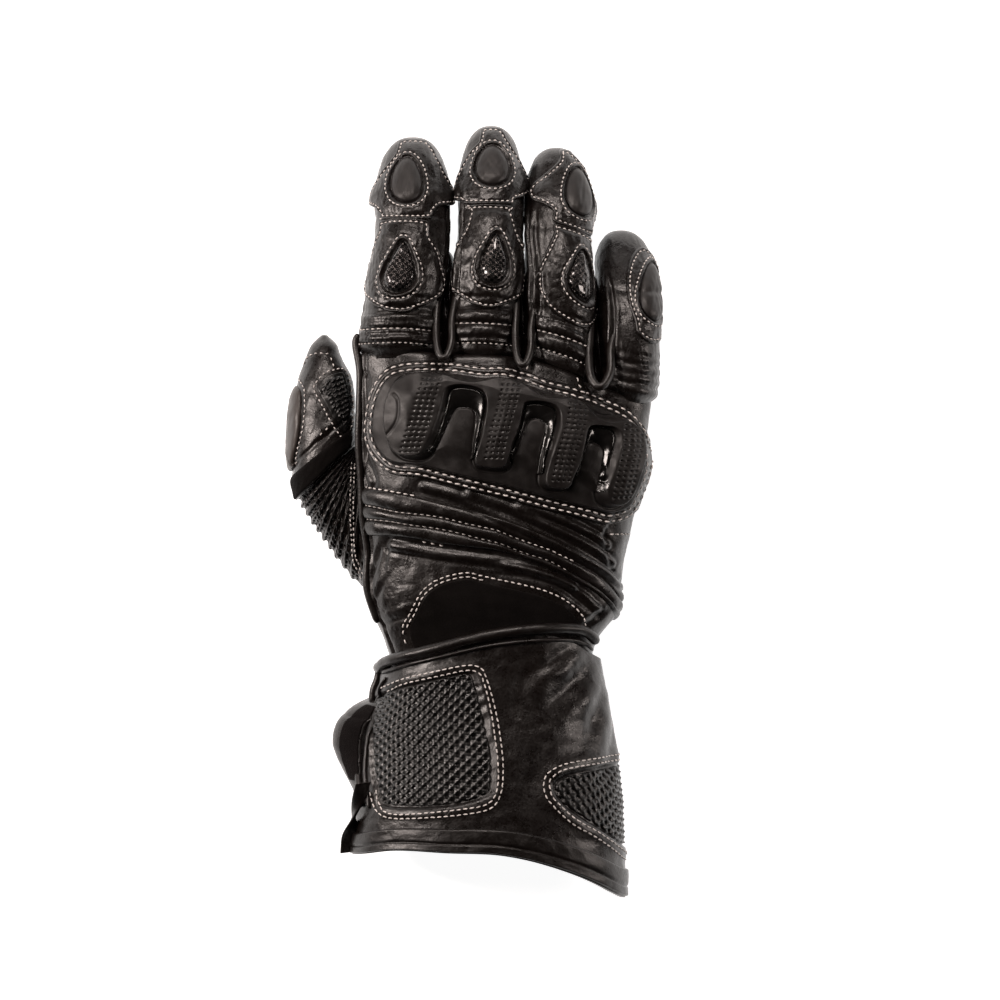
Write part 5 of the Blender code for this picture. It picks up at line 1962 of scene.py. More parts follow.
@dataclass
class Finger:
    """One finger: stall, panels, pads and their stitches.

    Args:
        sizes: the finger's sizes.
        leather: what the stall and panels are made of.
        rubber: what the pad near the tip is made of.
        carbon: what the hard pad is made of.
        thread: what it is sewn with.
    """

    sizes: FingerSizes
    leather: Leather
    rubber: Plastic
    carbon: Carbon
    thread: Thread

    def __post_init__(self) -> None:
        """Makes the skin and the sewing."""
        self.skin = FingerSkin(self.sizes)
        self.sewing = Sewing(f"{self.sizes.name}_stitches", self.thread)

    def cloth(self, rows: Rows) -> Array:
        """Cloth coordinates of rows of share along and degrees from the top.

        Args:
            rows: pairs of share and degrees.

        Returns:
            Rows of v and w.
        """
        data = np.array(rows, float)
        v = data[:, 0] * self.sizes.length
        return np.stack((v, self.skin.arc(v, np.radians(data[:, 1]))), -1)

    def pad_outline(self, pad: PadSizes, shape: Rows, grow: float = 0.0) -> Array:
        """Closed outline of an egg or teardrop, blunt end towards the hand.

        Args:
            pad: the pad's sizes.
            shape: half width along its length.
            grow: millimetres added all round.

        Returns:
            Rows of v and w.
        """
        data = np.array(shape)
        v = pad.middle * self.sizes.length + (data[:, 0] - 0.48) * (pad.length + 2 * grow)
        half = data[:, 1] * (pad.width / 2 + grow)
        centre = self.skin.arc(v, np.radians(pad.roll))
        loop = np.vstack((np.stack((v, centre + half), -1), np.stack((v, centre - half), -1)[-2:0:-1]))
        return smooth(loop, 0.4, True)

    def build(self) -> None:
        """Makes the stall, then everything that is sewn on it."""
        s = self.sizes
        vs = np.concatenate((np.linspace(-0.04, 0.9, 124), 1 - 0.1 * (1 - np.linspace(0, 1, 26)[1:]) ** 2))
        vs = np.minimum(vs, 0.9995) * s.length
        self.skin.shell(f"{s.name}_finger", vs, 132, self.leather, f"{s.name}_stall")
        if s.slider is None:
            self.panel("side", s.tip_panel, s.tip_pad, EGG, 2.0, self.rubber, "side_panel", "side_pad")
        else:
            self.panel("back", s.back_panel, s.slider, DROP, 2.6, self.carbon, "back_panel", "carbon_slider")
            self.panel("tip", s.tip_panel, s.tip_pad, EGG, 1.9, self.rubber, "tip_panel", "tip_pad")
        if s.ribs:
            self.flex_ribs()
        self.sewing.finished()

    def flex_ribs(self) -> None:
        """Two padded ribs across the root, a half circle each, with a row of stitches between."""
        s = self.sizes
        turn = np.radians(np.linspace(*s.rib_reach, 14))
        lines = []
        for share in s.ribs:
            v = np.full(14, share * s.length)
            lines.append(np.stack((v, self.skin.arc(v, turn)), -1))
        reach = np.abs(np.concatenate([line[[0, -1], 1] for line in lines])).max()

        def swell(share: Array, _v: Array, w: Array) -> Array:
            """Half circles across each rib that fade at its two ends."""
            ends = ease(reach, reach - 4.0, np.abs(w))
            return 0.2 + 1.75 * ends * np.sqrt(np.clip(1 - (2 * (share % 1.0) - 1) ** 2, 0, 1))

        nodes = () if s.name == "ring" else (f"{s.name}_flex_ribs",)
        Strip(f"{s.name}_ribs", self.skin, lines, swell, self.leather, nodes, 110, 14).build()
        self.sewing.along(self.skin, smooth(lines[1], 0.5), Seam.BACK, 0.5)
        self.sewing.along(self.skin, smooth(lines[0], 0.5), Seam.FINE, 0.3)

    def panel(self, place: str, rows: Rows, pad: PadSizes, shape: Rows, ring: float, finish: Finish,
              node: str, pad_node: str) -> None:
        """A panel of leather, the pad that comes through it, and the stitches round both.

        The panel's height is a rounded edge, a low swell inside it, a groove along the edge's
        stitches and another round the pad's, a rim that dips at the pad, and a lift at each wing.

        Args:
            place: which panel.
            rows: its outline, as share along and degrees.
            pad: the pad's sizes.
            shape: the pad's half outline.
            ring: how far outside the pad its stitches run.
            finish: what the pad is made of.
            node: the CAD node of the panel, without the finger's name.
            pad_node: the CAD node of the pad, without the finger's name.
        """
        s = self.sizes
        outline = smooth(self.cloth(rows), 0.5, True)
        egg, sewn = self.pad_outline(pad, shape), self.pad_outline(pad, shape, ring)
        wings = self.cloth(s.wings) if place == "tip" and s.wings else np.empty((0, 2))

        def height(depth: Array, v: Array, w: Array) -> Array:
            """The sum of bells, eases and ripples that the panel's own docstring tells of.

            Args:
                depth: millimetres in from the outline.
                v: millimetres along the skin.
                w: millimetres round it from its top.

            Returns:
                Heights in millimetres.
            """
            near, hole = distance_to(sewn, v, w, True), inside_depth(v, w, egg) + 0.5
            lift = 1.15 * rounded(depth, 0.8) + 0.45 * ease(1.6, 6.0, depth)
            lift -= 0.40 * bell(depth - 1.5, 0.45) + 0.45 * bell(near, 0.45)
            lift += 0.55 * bell(hole + 1.1, 0.8) - 1.1 * ease(-0.5, 0.3, hole)
            for at, round_ in wings:
                lift += 1.3 * bell(np.hypot(v - at, w - round_), 7.0)
            return lift + 0.12 * ripple(v, w, 7.0, s.seed + 3) + 0.05 * ripple(v, w, 2.6, s.seed + 4)

        def dome(depth: Array, _v: Array, _w: Array) -> Array:
            """A quarter circle of 4.4 mm from the pad's edge, a little flattened."""
            return 0.4 + 2.3 * rounded(depth, 4.4) ** 1.2

        laid = Laid(f"{s.name}_{place}_leather", self.skin, outline, height, self.leather,
                    (f"{s.name}_{node}",), inner=46, middle=tuple(egg.mean(0)))
        laid.build()
        button = Laid(f"{s.name}_{place}_pad", self.skin, egg, dome, finish, (f"{s.name}_{pad_node}",),
                      (0.0, 0.12, 0.3, 0.5, 0.75, 1.0, 1.3, 1.6, 2.0, 2.5), 14, 0.2, weave=True)
        button.build()
        self.sewing.along(self.skin, sewn, Seam.FINE, laid.over(0.12), True)
        self.sewing.along(self.skin, inset(outline, 1.5), Seam.FINE, laid.over(0.12), True)


@dataclass
class KnuckleGuard:
    """The moulded knuckle guard, the leather round it and its double row of stitches.

    Args:
        skin: the hand's leather.
        leather: what the surround is made of.
        plastic: what the guard is made of.
        gloss: what the walls of its slots and its dimples are made of: a darker, shinier plastic whose shine
            is the moulding's own, and whose darker colour in the dimples is painted shade.
        thread: what it is sewn with.
        flange: height of the flange over the surround's leather, in millimetres.
        rise: height of the body over the flange, in millimetres.
        sewn: outer row of stitches, x and y seen from above.
        body: outline of the raised body.
        tongues: outlines of the three tongues between its lobes.
        slots: outlines of the three slots that the tongues stand in.
        arc: the line engraved on the first lobe.
        bands: for each lobe, the middle line of its dimples.
        pitch: steps of the dimples across and along, in millimetres.
        dimple: depth of a dimple, in millimetres.
    """

    skin: HandSkin
    leather: Leather
    plastic: Plastic
    gloss: Plastic
    thread: Thread
    flange: float = 1.7
    rise: float = 4.6
    sewn: Rows = (
        (-54.4, 91.6), (-52.4, 99.6), (-48.0, 106.4), (-42.4, 109.2), (-32.4, 110.0),
        (-21.2, 109.6), (-9.6, 108.0), (-1.6, 108.0), (6.8, 106.0), (14.8, 102.8), (22.8, 100.8),
        (31.2, 98.4), (39.2, 95.2), (47.6, 90.8), (53.2, 84.0), (56.0, 76.0), (55.6, 67.2),
        (53.2, 58.8), (50.0, 52.4), (46.0, 49.2), (39.2, 47.6), (31.2, 49.6), (14.8, 53.6),
        (-1.6, 58.0), (-18.0, 62.0), (-34.0, 66.0), (-44.0, 67.2), (-50.4, 71.2), (-53.6, 76.8),
        (-54.8, 83.2),
    )
    body: Rows = (
        (-43.1, 79.1), (-44.6, 86.0), (-44.3, 93.6), (-42.3, 99.8), (-39.7, 103.6), (-35.8, 106.0),
        (-30.5, 107.0), (-25.1, 106.8), (-20.5, 105.8), (-17.1, 104.3), (-12.9, 103.5),
        (-9.1, 103.8), (-5.2, 105.0), (-0.6, 105.2), (4.0, 104.2), (7.4, 101.9), (10.1, 99.6),
        (14.7, 97.7), (19.3, 97.9), (23.8, 97.6), (27.7, 95.9), (30.4, 92.8), (33.4, 90.1),
        (37.6, 89.0), (42.2, 89.4), (46.0, 87.5), (48.7, 83.5), (49.9, 77.6), (49.3, 71.4),
        (47.6, 65.3), (45.7, 60.0), (43.0, 55.8), (39.9, 54.0), (36.5, 54.5), (34.3, 56.9),
        (33.9, 61.5), (36.5, 69.1), (38.5, 76.8), (39.2, 81.4), (37.8, 84.8), (34.2, 85.9),
        (30.6, 86.2), (29.2, 85.1), (28.1, 79.1), (26.3, 71.4), (23.8, 65.3), (22.5, 61.9),
        (20.0, 60.3), (15.4, 60.6), (12.7, 62.3), (12.4, 66.1), (13.9, 72.2), (16.0, 79.1),
        (17.6, 86.0), (17.6, 91.0), (15.7, 93.5), (11.5, 94.4), (7.2, 94.0), (6.2, 92.0),
        (4.7, 84.5), (2.4, 77.6), (0.9, 72.2), (-0.3, 69.1), (-3.1, 67.8), (-8.7, 68.2),
        (-11.7, 69.5), (-12.3, 73.0), (-10.7, 78.3), (-9.2, 86.0), (-8.1, 93.3), (-8.9, 97.8),
        (-11.5, 99.7), (-15.9, 100.6), (-19.6, 100.1), (-21.3, 98.1), (-22.8, 91.3), (-25.1, 83.3),
        (-27.4, 77.6), (-29.9, 73.5), (-33.5, 72.3), (-38.5, 73.0), (-41.6, 75.4),
    )
    tongues: tuple[Rows, ...] = (
        ((-27.8, 72.9), (-25.1, 79.5), (-22.1, 86.4), (-19.6, 91.2), (-17.5, 92.3), (-13.8, 92.0),
         (-12.1, 89.8), (-12.0, 86.0), (-12.9, 79.1), (-13.8, 72.1), (-19.0, 68.1), (-24.4, 69.7)),
        ((2.0, 70.4), (4.6, 78.3), (7.0, 85.2), (8.5, 87.4), (10.5, 88.1), (13.1, 87.1), (14.4, 85.1),
         (13.5, 79.9), (12.0, 72.2), (10.6, 64.3), (6.2, 62.0), (2.4, 65.8)),
        ((24.6, 61.0), (27.3, 70.7), (29.2, 77.2), (30.9, 79.0), (34.0, 78.6), (35.9, 76.0), (35.5, 70.7),
         (34.0, 63.8), (32.6, 57.4), (29.2, 54.1), (24.6, 57.2)),
    )
    slots: tuple[Rows, ...] = (
        ((-12.3, 72.0), (-10.7, 78.3), (-9.2, 86.0), (-8.1, 93.3), (-8.9, 97.8), (-11.5, 99.7),
         (-15.9, 100.6), (-19.6, 100.1), (-21.3, 98.1), (-22.8, 91.3), (-25.1, 83.3), (-27.4, 77.6),
         (-29.0, 74.5)),
        ((12.4, 66.1), (13.9, 72.2), (16.0, 79.1), (17.6, 86.0), (17.6, 91.0), (15.7, 93.5), (11.5, 94.4),
         (7.2, 94.0), (6.2, 92.0), (4.7, 84.5), (2.4, 77.6), (0.9, 72.2)),
        ((33.9, 59.5), (36.5, 69.1), (38.5, 76.8), (39.2, 81.4), (37.8, 84.8), (34.2, 85.9), (30.6, 86.2),
         (29.2, 85.1), (28.1, 79.1), (26.3, 71.4), (24.6, 67.3)),
    )
    arc: Rows = ((-39.7, 97.8), (-38.3, 95.8), (-37.8, 92.9), (-38.1, 88.3), (-39.7, 84.8), (-42.4, 81.6))
    bands: tuple[Rows, ...] = (
        ((-25.9, 105.3), (-28.2, 96.7), (-30.1, 87.5), (-34.5, 74.5)),
        ((1.7, 103.2), (-0.6, 92.1), (-3.3, 81.4), (-5.2, 71.0)),
        ((25.0, 96.3), (23.9, 86.7), (20.8, 76.0), (18.1, 63.4)),
        ((44.5, 88.0), (44.1, 79.1), (42.2, 69.1), (39.5, 57.0)),
    )
    pitch: tuple[float, float] = (1.9, 2.07)
    dimple: float = 0.52

    def __post_init__(self) -> None:
        """Smooths the outlines once."""
        self.edge = smooth(self.body, 0.9, True)
        self.tongue_edges = [smooth(loop, 0.9, True) for loop in self.tongues]
        self.slot_edges = [smooth(loop, 0.9, True) for loop in self.slots]
        self.engraved = smooth(self.arc, 0.8)

    def dimples(self, x: Array, y: Array) -> Array:
        """Share of a dimple at plan places: bells on a lattice along each band, four abreast.

        Args:
            x: places across the palm, in millimetres.
            y: places along the fingers, in millimetres.

        Returns:
            Shares from 0 to 1.
        """
        across, along = self.pitch
        pits = np.zeros(np.shape(x))
        for band in self.bands:
            line = np.array(band)[::-1]
            off = (x - np.interp(y, line[:, 1], line[:, 0])) / across + 0.5
            row = y / along
            near = np.hypot((off - np.round(off)) * across, (row - np.round(row)) * along)
            low, high = line[0, 1], line[-1, 1]
            kept = (np.abs(np.round(off) - 0.5) < 2.1) & (np.abs(2 * y - low - high) < high - low)
            pits = np.maximum(pits, kept * bell(near, 0.40))
        return pits

    def slot(self, x: Array, y: Array) -> tuple[Array, Array]:
        """Depth into the nearest slot, and depth into the nearest tongue, at plan places.

        Args:
            x: places across the palm, in millimetres.
            y: places along the fingers, in millimetres.

        Returns:
            Two depths in millimetres, negative outside.
        """
        slot = np.max([inside_depth(x, y, loop) for loop in self.slot_edges], axis=0)
        tongue = np.max([inside_depth(x, y, loop) for loop in self.tongue_edges], axis=0)
        return slot, tongue

    def height(self, depth: Array, v: Array, w: Array) -> Array:
        """Flange, body with a rounded wall, scooped slots, tongues, dimples and an engraved line.

        Args:
            depth: millimetres in from the outline.
            v: millimetres along the skin.
            w: millimetres round it from its top.

        Returns:
            Heights in millimetres.
        """
        plan = self.skin.lay(v, w, 0.0)
        x, y = plan[..., 0], plan[..., 1]
        inside = inside_depth(x, y, self.edge)
        slot, tongue = self.slot(x, y)
        lift = 1.1 + self.flange * rounded(depth, 0.7)
        from_tongue, from_body = np.clip(-tongue, 0, None), np.clip(-inside, 0, None)
        share = from_tongue / np.maximum(from_tongue + from_body, 1e-6)
        scoop = (0.62 * self.rise * share**1.4 + 0.8 * np.sin(np.pi * share)) * (tongue < 0) * (inside <= 0)
        scoop = scoop * ease(-0.3, 0.7, slot)
        lift += np.maximum(self.rise * ease(-0.45, 1.15, inside), scoop)
        lift += 1.2 * ease(0.5, 11.0, inside) * (inside > 0)
        lift -= 0.55 * bell(inside + 0.9, 0.5) * (slot < 0)
        lift += 0.75 * rounded(tongue, 0.7) * (tongue > 0) * ease(-1.0, 5.0, slot)
        lift -= self.dimple * self.dimples(x, y) * (inside > 1.2)
        lift -= 0.40 * bell(distance_to(self.engraved, x, y), 0.42) * (inside > 0.8)
        return lift

    def gloss_walls_and_shaded_dimples(self, v: Array, w: Array) -> Array:
        """Whether cloth coordinates stand on the wall of a slot or in a dimple, where the darker, shinier
        finish goes; in the dimples its darker colour is painted shade.

        Args:
            v: millimetres along the skin.
            w: millimetres round it from its top.

        Returns:
            True where it does.
        """
        plan = self.skin.lay(v, w, 0.0)
        slot, tongue = self.slot(plan[..., 0], plan[..., 1])
        return (slot > 0.2) & (tongue < -0.1) | (self.dimples(plan[..., 0], plan[..., 1]) > 0.45)

    def build(self) -> None:
        """Makes the surround, the guard on it and both rows of stitches."""
        sewn = smooth(self.sewn, 0.45, True)

        def padding(depth: Array, _v: Array, _w: Array) -> Array:
            """A rounded edge with a groove under each row of stitches."""
            grooves = bell(depth - 1.3, 0.5) + bell(depth - 3.6, 0.5)
            return 1.45 * rounded(depth, 1.0) - 0.40 * grooves

        depths = (0.0, 0.1, 0.3, 0.55, 0.8, 1.05, 1.3, 1.55, 1.9, 2.4, 2.9, 3.2, 3.6, 4.0, 4.5)
        surround = Laid("guard_leather", self.skin, self.skin.spot(inset(sewn, -1.3)), padding, self.leather,
                        ("guard_surround",), depths, 10)
        surround.build()
        guard = Laid("guard", self.skin, self.skin.spot(inset(sewn, 3.5)), self.height, self.plastic,
                     ("knuckle_guard",), (0.0, 0.1, 0.25, 0.45, 0.7, 1.0, 1.3, 1.6), 118, 0.3,
                     second=self.gloss, where=self.gloss_walls_and_shaded_dimples)
        guard.build()
        rows = Sewing("guard_stitches", self.thread)
        rows.plan(self.skin, sewn[::4], Seam.GUARD, surround.over(0.15), True)
        rows.plan(self.skin, inset(sewn, 2.3)[::4], Seam.GUARD, surround.over(0.15), True)
        rows.finished()


@dataclass
class Back:
    """The hand: its leather, the stitched ribs behind the guard, the suede and the side welt.

    Args:
        skin: the hand's leather.
        index: the index finger's leather, where the welt ends.
        leather: what the hand and its ribs are made of.
        suede: what the patch at the wrist is made of.
        gloss: what the rolled edges are made of.
        thread: what it is sewn with.
        ribs: lines between the ribs, from the lowest, as x and y seen from above.
        patch: outline of the suede's stitches, in the same way.
        crotch: x, y and z along the rolled edge between the ring and the little finger.
        moves: for each rolled edge between two fingers, its shift in x, y and z and its width.
        middle: x of the first rolled edge's middle.
    """

    skin: HandSkin
    index: FingerSkin
    leather: Leather
    suede: Suede
    gloss: Leather
    thread: Thread
    ribs: tuple[Rows, ...] = (
        (
            (-56.0, 41.6), (-46.4, 41.6), (-36.0, 40.4), (-26.0, 38.4), (-14.8, 37.2), (-2.8, 35.6),
            (8.4, 32.4), (19.2, 28.0), (26.4, 24.4), (35.2, 19.2), (40.8, 13.6), (43.6, 7.6),
        ),
        (
            (-55.6, 48.4), (-46.4, 47.6), (-36.8, 46.0), (-28.0, 44.8), (-20.0, 43.2),
            (-10.8, 40.8), (-2.8, 38.8), (3.2, 36.4), (8.8, 34.4), (16.4, 32.0), (23.6, 28.0),
            (33.2, 22.4), (39.6, 17.2), (44.4, 10.8),
        ),
        (
            (-56.0, 54.0), (-50.0, 52.8), (-42.8, 51.2), (-31.6, 50.0), (-24.4, 48.8),
            (-16.4, 46.8), (-10.8, 45.6), (-4.0, 44.0), (0.8, 42.0), (8.4, 39.2), (16.4, 36.4),
            (21.2, 34.0), (26.4, 31.6), (34.8, 26.8), (40.8, 21.6), (45.2, 15.2),
        ),
        (
            (-56.4, 61.2), (-46.4, 59.6), (-36.0, 57.6), (-26.8, 55.2), (-14.8, 52.4), (-2.8, 48.8),
            (9.2, 44.8), (21.2, 39.6), (31.2, 34.4), (39.2, 28.4), (43.6, 23.2), (45.6, 19.2),
        ),
    )
    patch: Rows = (
        (-41.2, 4.8), (-37.6, 12.4), (-34.0, 19.2), (-28.8, 23.6), (-22.8, 26.0), (-15.6, 27.2),
        (-10.0, 26.0), (-2.8, 24.4), (4.8, 22.8), (15.2, 20.0), (23.6, 16.0), (29.2, 10.8),
        (31.6, 4.0), (26.8, 1.6), (15.2, 1.6), (-0.8, 0.0), (-16.4, -3.2), (-30.8, -6.8),
        (-38.0, -4.8),
    )
    crotch: Rows = (
        (45.0, 141.0, 26.0), (44.4, 132.0, 31.0), (43.0, 124.0, 35.5), (41.2, 115.6, 39.5),
        (41.0, 107.5, 43.0), (38.6, 102.0, 45.5), (35.6, 101.0, 46.0), (33.2, 105.0, 44.0),
        (32.4, 113.0, 40.0), (33.0, 122.0, 36.0), (33.6, 131.0, 31.0), (33.8, 141.0, 26.0),
    )
    moves: Rows = ((0.0, 0.0, 0.0, 1.0), (-30.6, 8.6, 1.4, 0.72), (-62.0, 11.4, 0.4, 0.72))
    middle: float = 37.5

    def padded_ribs(self, rows: Sewing) -> None:
        """Three ribs, half circles that flatten towards the little finger, and their stitches.

        Args:
            rows: where the stitches go.
        """
        lines = [self.skin.spot(smooth(line, 2.0)) for line in self.ribs]

        def swell(share: Array, _v: Array, w: Array) -> Array:
            """Half circles across each rib, highest at the thumb's side."""
            high = 2.1 - 1.0 * ease(-10.0, 50.0, w)
            return 0.25 + high * np.sqrt(1 - (2 * (share % 1.0) - 1) ** 2) ** 0.9

        Strip("back_ribs_leather", self.skin, lines, swell, self.leather, ("back_ribs",), 300, 16).build()
        for line, end in ((self.ribs[1], 11), (self.ribs[2], 13), (self.ribs[3], 3)):
            rows.plan(self.skin, line[:end], Seam.BACK, 0.45)
        rows.plan(self.skin, ((-34.4, 39.6), (-30.0, 38.8), (-24.4, 37.6)), Seam.BACK, 0.15)

    def wrist_suede(self, rows: Sewing) -> None:
        """The suede patch at the wrist, in one row of stitches and a shorter second one.

        Args:
            rows: where the stitches go.
        """
        outline = smooth(self.patch, 0.5, True)
        cloth = self.skin.spot(outline)
        inner = inset(outline, 1.6)
        rows.along(self.skin, cloth[: len(cloth) * 10 // 19], Seam.BACK, 0.15)
        rows.plan(self.skin, inner[: len(inner) * 5 // 19 : 4], Seam.BACK, 0.15)
        rows.plan(self.skin, np.vstack((outline[-14:], outline[:3]))[::3], Seam.BACK, 0.15)
        Laid("wrist_suede", self.skin, self.skin.spot(inset(outline, 2.6)),
             lambda depth, v, w: 0.7 * rounded(depth, 0.6) + 0.25 * ripple(v, w, 9.0, 61), self.suede,
             ("wrist_patch",), inner=30).build()
        for line in (
            ((40.4, 42.4), (44.4, 42.4), (48.4, 42.4)),
            ((-3.2, 110.4), (-2.8, 108.8), (-1.2, 106.8)),
            ((8.8, 109.6), (8.0, 107.6), (6.0, 105.2)),
            ((28.0, 104.8), (28.4, 102.0), (30.0, 99.6)),
        ):
            rows.plan(self.skin, line, Seam.BACK, 0.15)

    def rolled_edges(self) -> None:
        """The welt down the thumb's side, and a rolled edge in the fork between each two fingers."""
        v = np.linspace(0.20, 0.985, 90) * self.skin.length
        low = self.skin.lay(v, self.skin.arc(v, np.radians(np.full(90, -75.0))), 0.7)
        v = np.linspace(0.03, 0.12, 12) * self.index.length
        high = self.index.lay(v, self.index.arc(v, np.radians(np.full(12, -80.0))), 0.7)
        path = smooth(np.vstack((low[::12], high[::6])), 1.0)
        steps = np.arange(len(path))
        radius = 1.45 * rounded(np.minimum(steps, steps[::-1]) + 0.3, 3.0)
        make_cord("side_cord", path, radius, 20, self.gloss, "side_welt")
        for number, (x, y, z, wide) in enumerate(self.moves):
            shift = (self.middle * (1 - wide) + x, y, z)
            path = smooth(np.array(self.crotch) * (wide, 1, 1) + shift, 0.8)
            make_cord(f"crotch_roll_{number + 1}", path, 1.7 * wide**0.5, 20, self.gloss)

    def build(self) -> None:
        """Makes the hand, then everything sewn on it but the guard."""
        rings = np.linspace(0.0, 1.0, 270) * self.skin.length
        self.skin.shell("hand", rings, 330, self.leather, "hand_shell")
        rows = Sewing("back_stitches", self.thread)
        self.padded_ribs(rows)
        self.wrist_suede(rows)
        rows.finished()
        self.rolled_edges()


@dataclass
class Thumb:
    """The thumb with its slider, lattice patch and stitches, and the perforated pleated gusset.

    Args:
        leather: what the thumb and the gusset are made of.
        dark: what the band at the thumb's base is made of, a dark suede that paints the shade on the thumb's
            lower lobe.
        slider: what the slider is made of.
        mesh: what the lattice patch is made of.
        thread: what it is sewn with.
    """

    leather: Leather
    dark: Suede
    slider: Plastic
    mesh: Plastic
    thread: Thread

    def slider_outline(self, skin: Skin) -> Array:
        """Plan points of the slider's right edge, then its left edge, hidden past the silhouette.

        Args:
            skin: the thumb's leather.

        Returns:
            Rows of v and w.
        """
        right = skin.spot(smooth((
            (-84.4, 102.0), (-82.8, 99.2), (-82.4, 94.0), (-82.4, 88.8), (-83.2, 81.6),
            (-84.8, 73.6), (-86.0, 68.0),
        ), 1.0))
        v = right[::-1, 0]
        left = np.stack((v, skin.arc(v, np.radians(np.full(len(v), -128.0)))), -1)
        return smooth(np.vstack((right[::2], left[::2])), 0.5, True)

    def stall(self, skin: Skin) -> None:
        """Makes the thumb's leather, its rings closer together near the tip, and the slider on it.

        Args:
            skin: the thumb's leather.
        """
        vs = np.concatenate((np.linspace(0.0, 0.86, 110), 1 - 0.14 * (1 - np.linspace(0, 1, 22)[1:]) ** 1.5))
        skin.shell("thumb", np.minimum(vs, 0.999) * skin.length, 140, self.leather, "thumb_stall")
        pad = Laid("thumb_slider_pad", skin, self.slider_outline(skin),
                   lambda depth, _v, _w: 0.4 + 1.5 * rounded(depth, 3.4), self.slider, ("thumb_slider",),
                   inner=18)
        pad.build()

    def lattice(self, skin: Skin, rows: Sewing) -> None:
        """The patch of moulded beads on the thumb's back, and the stitches round it.

        Args:
            skin: the thumb's leather.
            rows: where the stitches go.
        """
        loop = smooth((
            (-65.6, 108.4), (-69.2, 108.0), (-72.8, 106.8), (-76.0, 103.2), (-77.2, 100.4),
            (-75.2, 96.4), (-72.8, 92.0), (-70.0, 86.8), (-65.6, 80.8), (-62.8, 84.0),
            (-61.6, 90.0), (-62.0, 96.8), (-63.2, 104.0),
        ), 0.5, True)

        def beads(depth: Array, v: Array, w: Array) -> Array:
            """Half ellipsoids on a slanted lattice whose rows are staggered.

            Args:
                depth: millimetres in from the outline.
                v: millimetres along the skin.
                w: millimetres round it from its top.

            Returns:
                Heights in millimetres.
            """
            row = v / 2.4
            off = (w - 0.25 * v) / 2.05 + 0.5 * (np.round(row) % 2)
            du, dv = (off - np.round(off)) * 2.05 / 0.85, (row - np.round(row)) * 2.4 / 1.05
            bead = np.sqrt(np.clip(1 - du**2 - dv**2, 0, 1))
            return 0.6 * rounded(depth, 0.5) + 0.95 * bead * ease(1.2, 2.2, depth) * ease(-1.0, 1.5, w)

        Laid("thumb_lattice", skin, skin.spot(inset(loop, 1.4)), beads, self.mesh, ("thumb_mesh_patch",),
             inner=60).build()
        rows.plan(skin, loop[::4], Seam.FINE, 0.15, True)

    def band(self, skin: Skin) -> None:
        """The dark band round the thumb's base, a rounded strip between three rings, which paints the shade
        that falls on the thumb's lower lobe.

        Args:
            skin: the thumb's leather.
        """
        reach = np.radians(np.linspace(-120, 60, 16))
        lines = [np.stack((np.full(16, v), skin.arc(np.full(16, v), reach)), -1) for v in (0.3, 4.5, 9.5)]
        Strip("thumb_band", skin, lines,
              lambda share, _v, _w: 0.3 + 0.5 * ease(0, 0.3, share) * ease(2, 1.7, share),
              self.dark, (), 120, 10).build()

    def gusset(self, rows: Sewing) -> None:
        """Makes the pleated fan and its double row of stitches beside the palm.

        Args:
            rows: where the stitches go.
        """
        fan = GussetSkin()
        fan.shell("gusset", np.linspace(0, 1, 250) * fan.length, 260, self.leather, "thumb_gusset")
        line = ((-60.8, 71.2), (-61.2, 59.6), (-61.2, 50.0), (-60.8, 41.2), (-59.6, 31.2), (-56.8, 24.0))
        for shift in (0.0, -1.28):
            rows.plan(fan, np.array(line) + (shift, 0.0), Seam.FINE, 0.3)

    def build(self) -> None:
        """Makes the thumb and what is sewn on it, then the gusset."""
        skin = ThumbSkin()
        self.stall(skin)
        rows = Sewing("thumb_stitches", self.thread)
        self.lattice(skin, rows)
        for line in (
            ((-81.6, 110.0), (-80.4, 112.8), (-78.0, 114.4), (-75.2, 114.8), (-70.8, 114.4)),
            ((-70.8, 113.6), (-70.0, 111.2), (-69.2, 108.8)),
            (
                (-83.2, 104.4), (-81.2, 100.8), (-80.8, 96.0), (-80.8, 90.4), (-81.6, 84.0),
                (-83.6, 75.6), (-84.8, 69.6),
            ),
            ((-75.2, 81.2), (-73.2, 83.2), (-70.8, 85.2)),
        ):
            rows.plan(skin, line, Seam.FINE, 0.15)
        # dark strip at the base: painted shade on the thumb's lower lobe
        self.band(skin)
        self.gusset(rows)
        rows.finished()


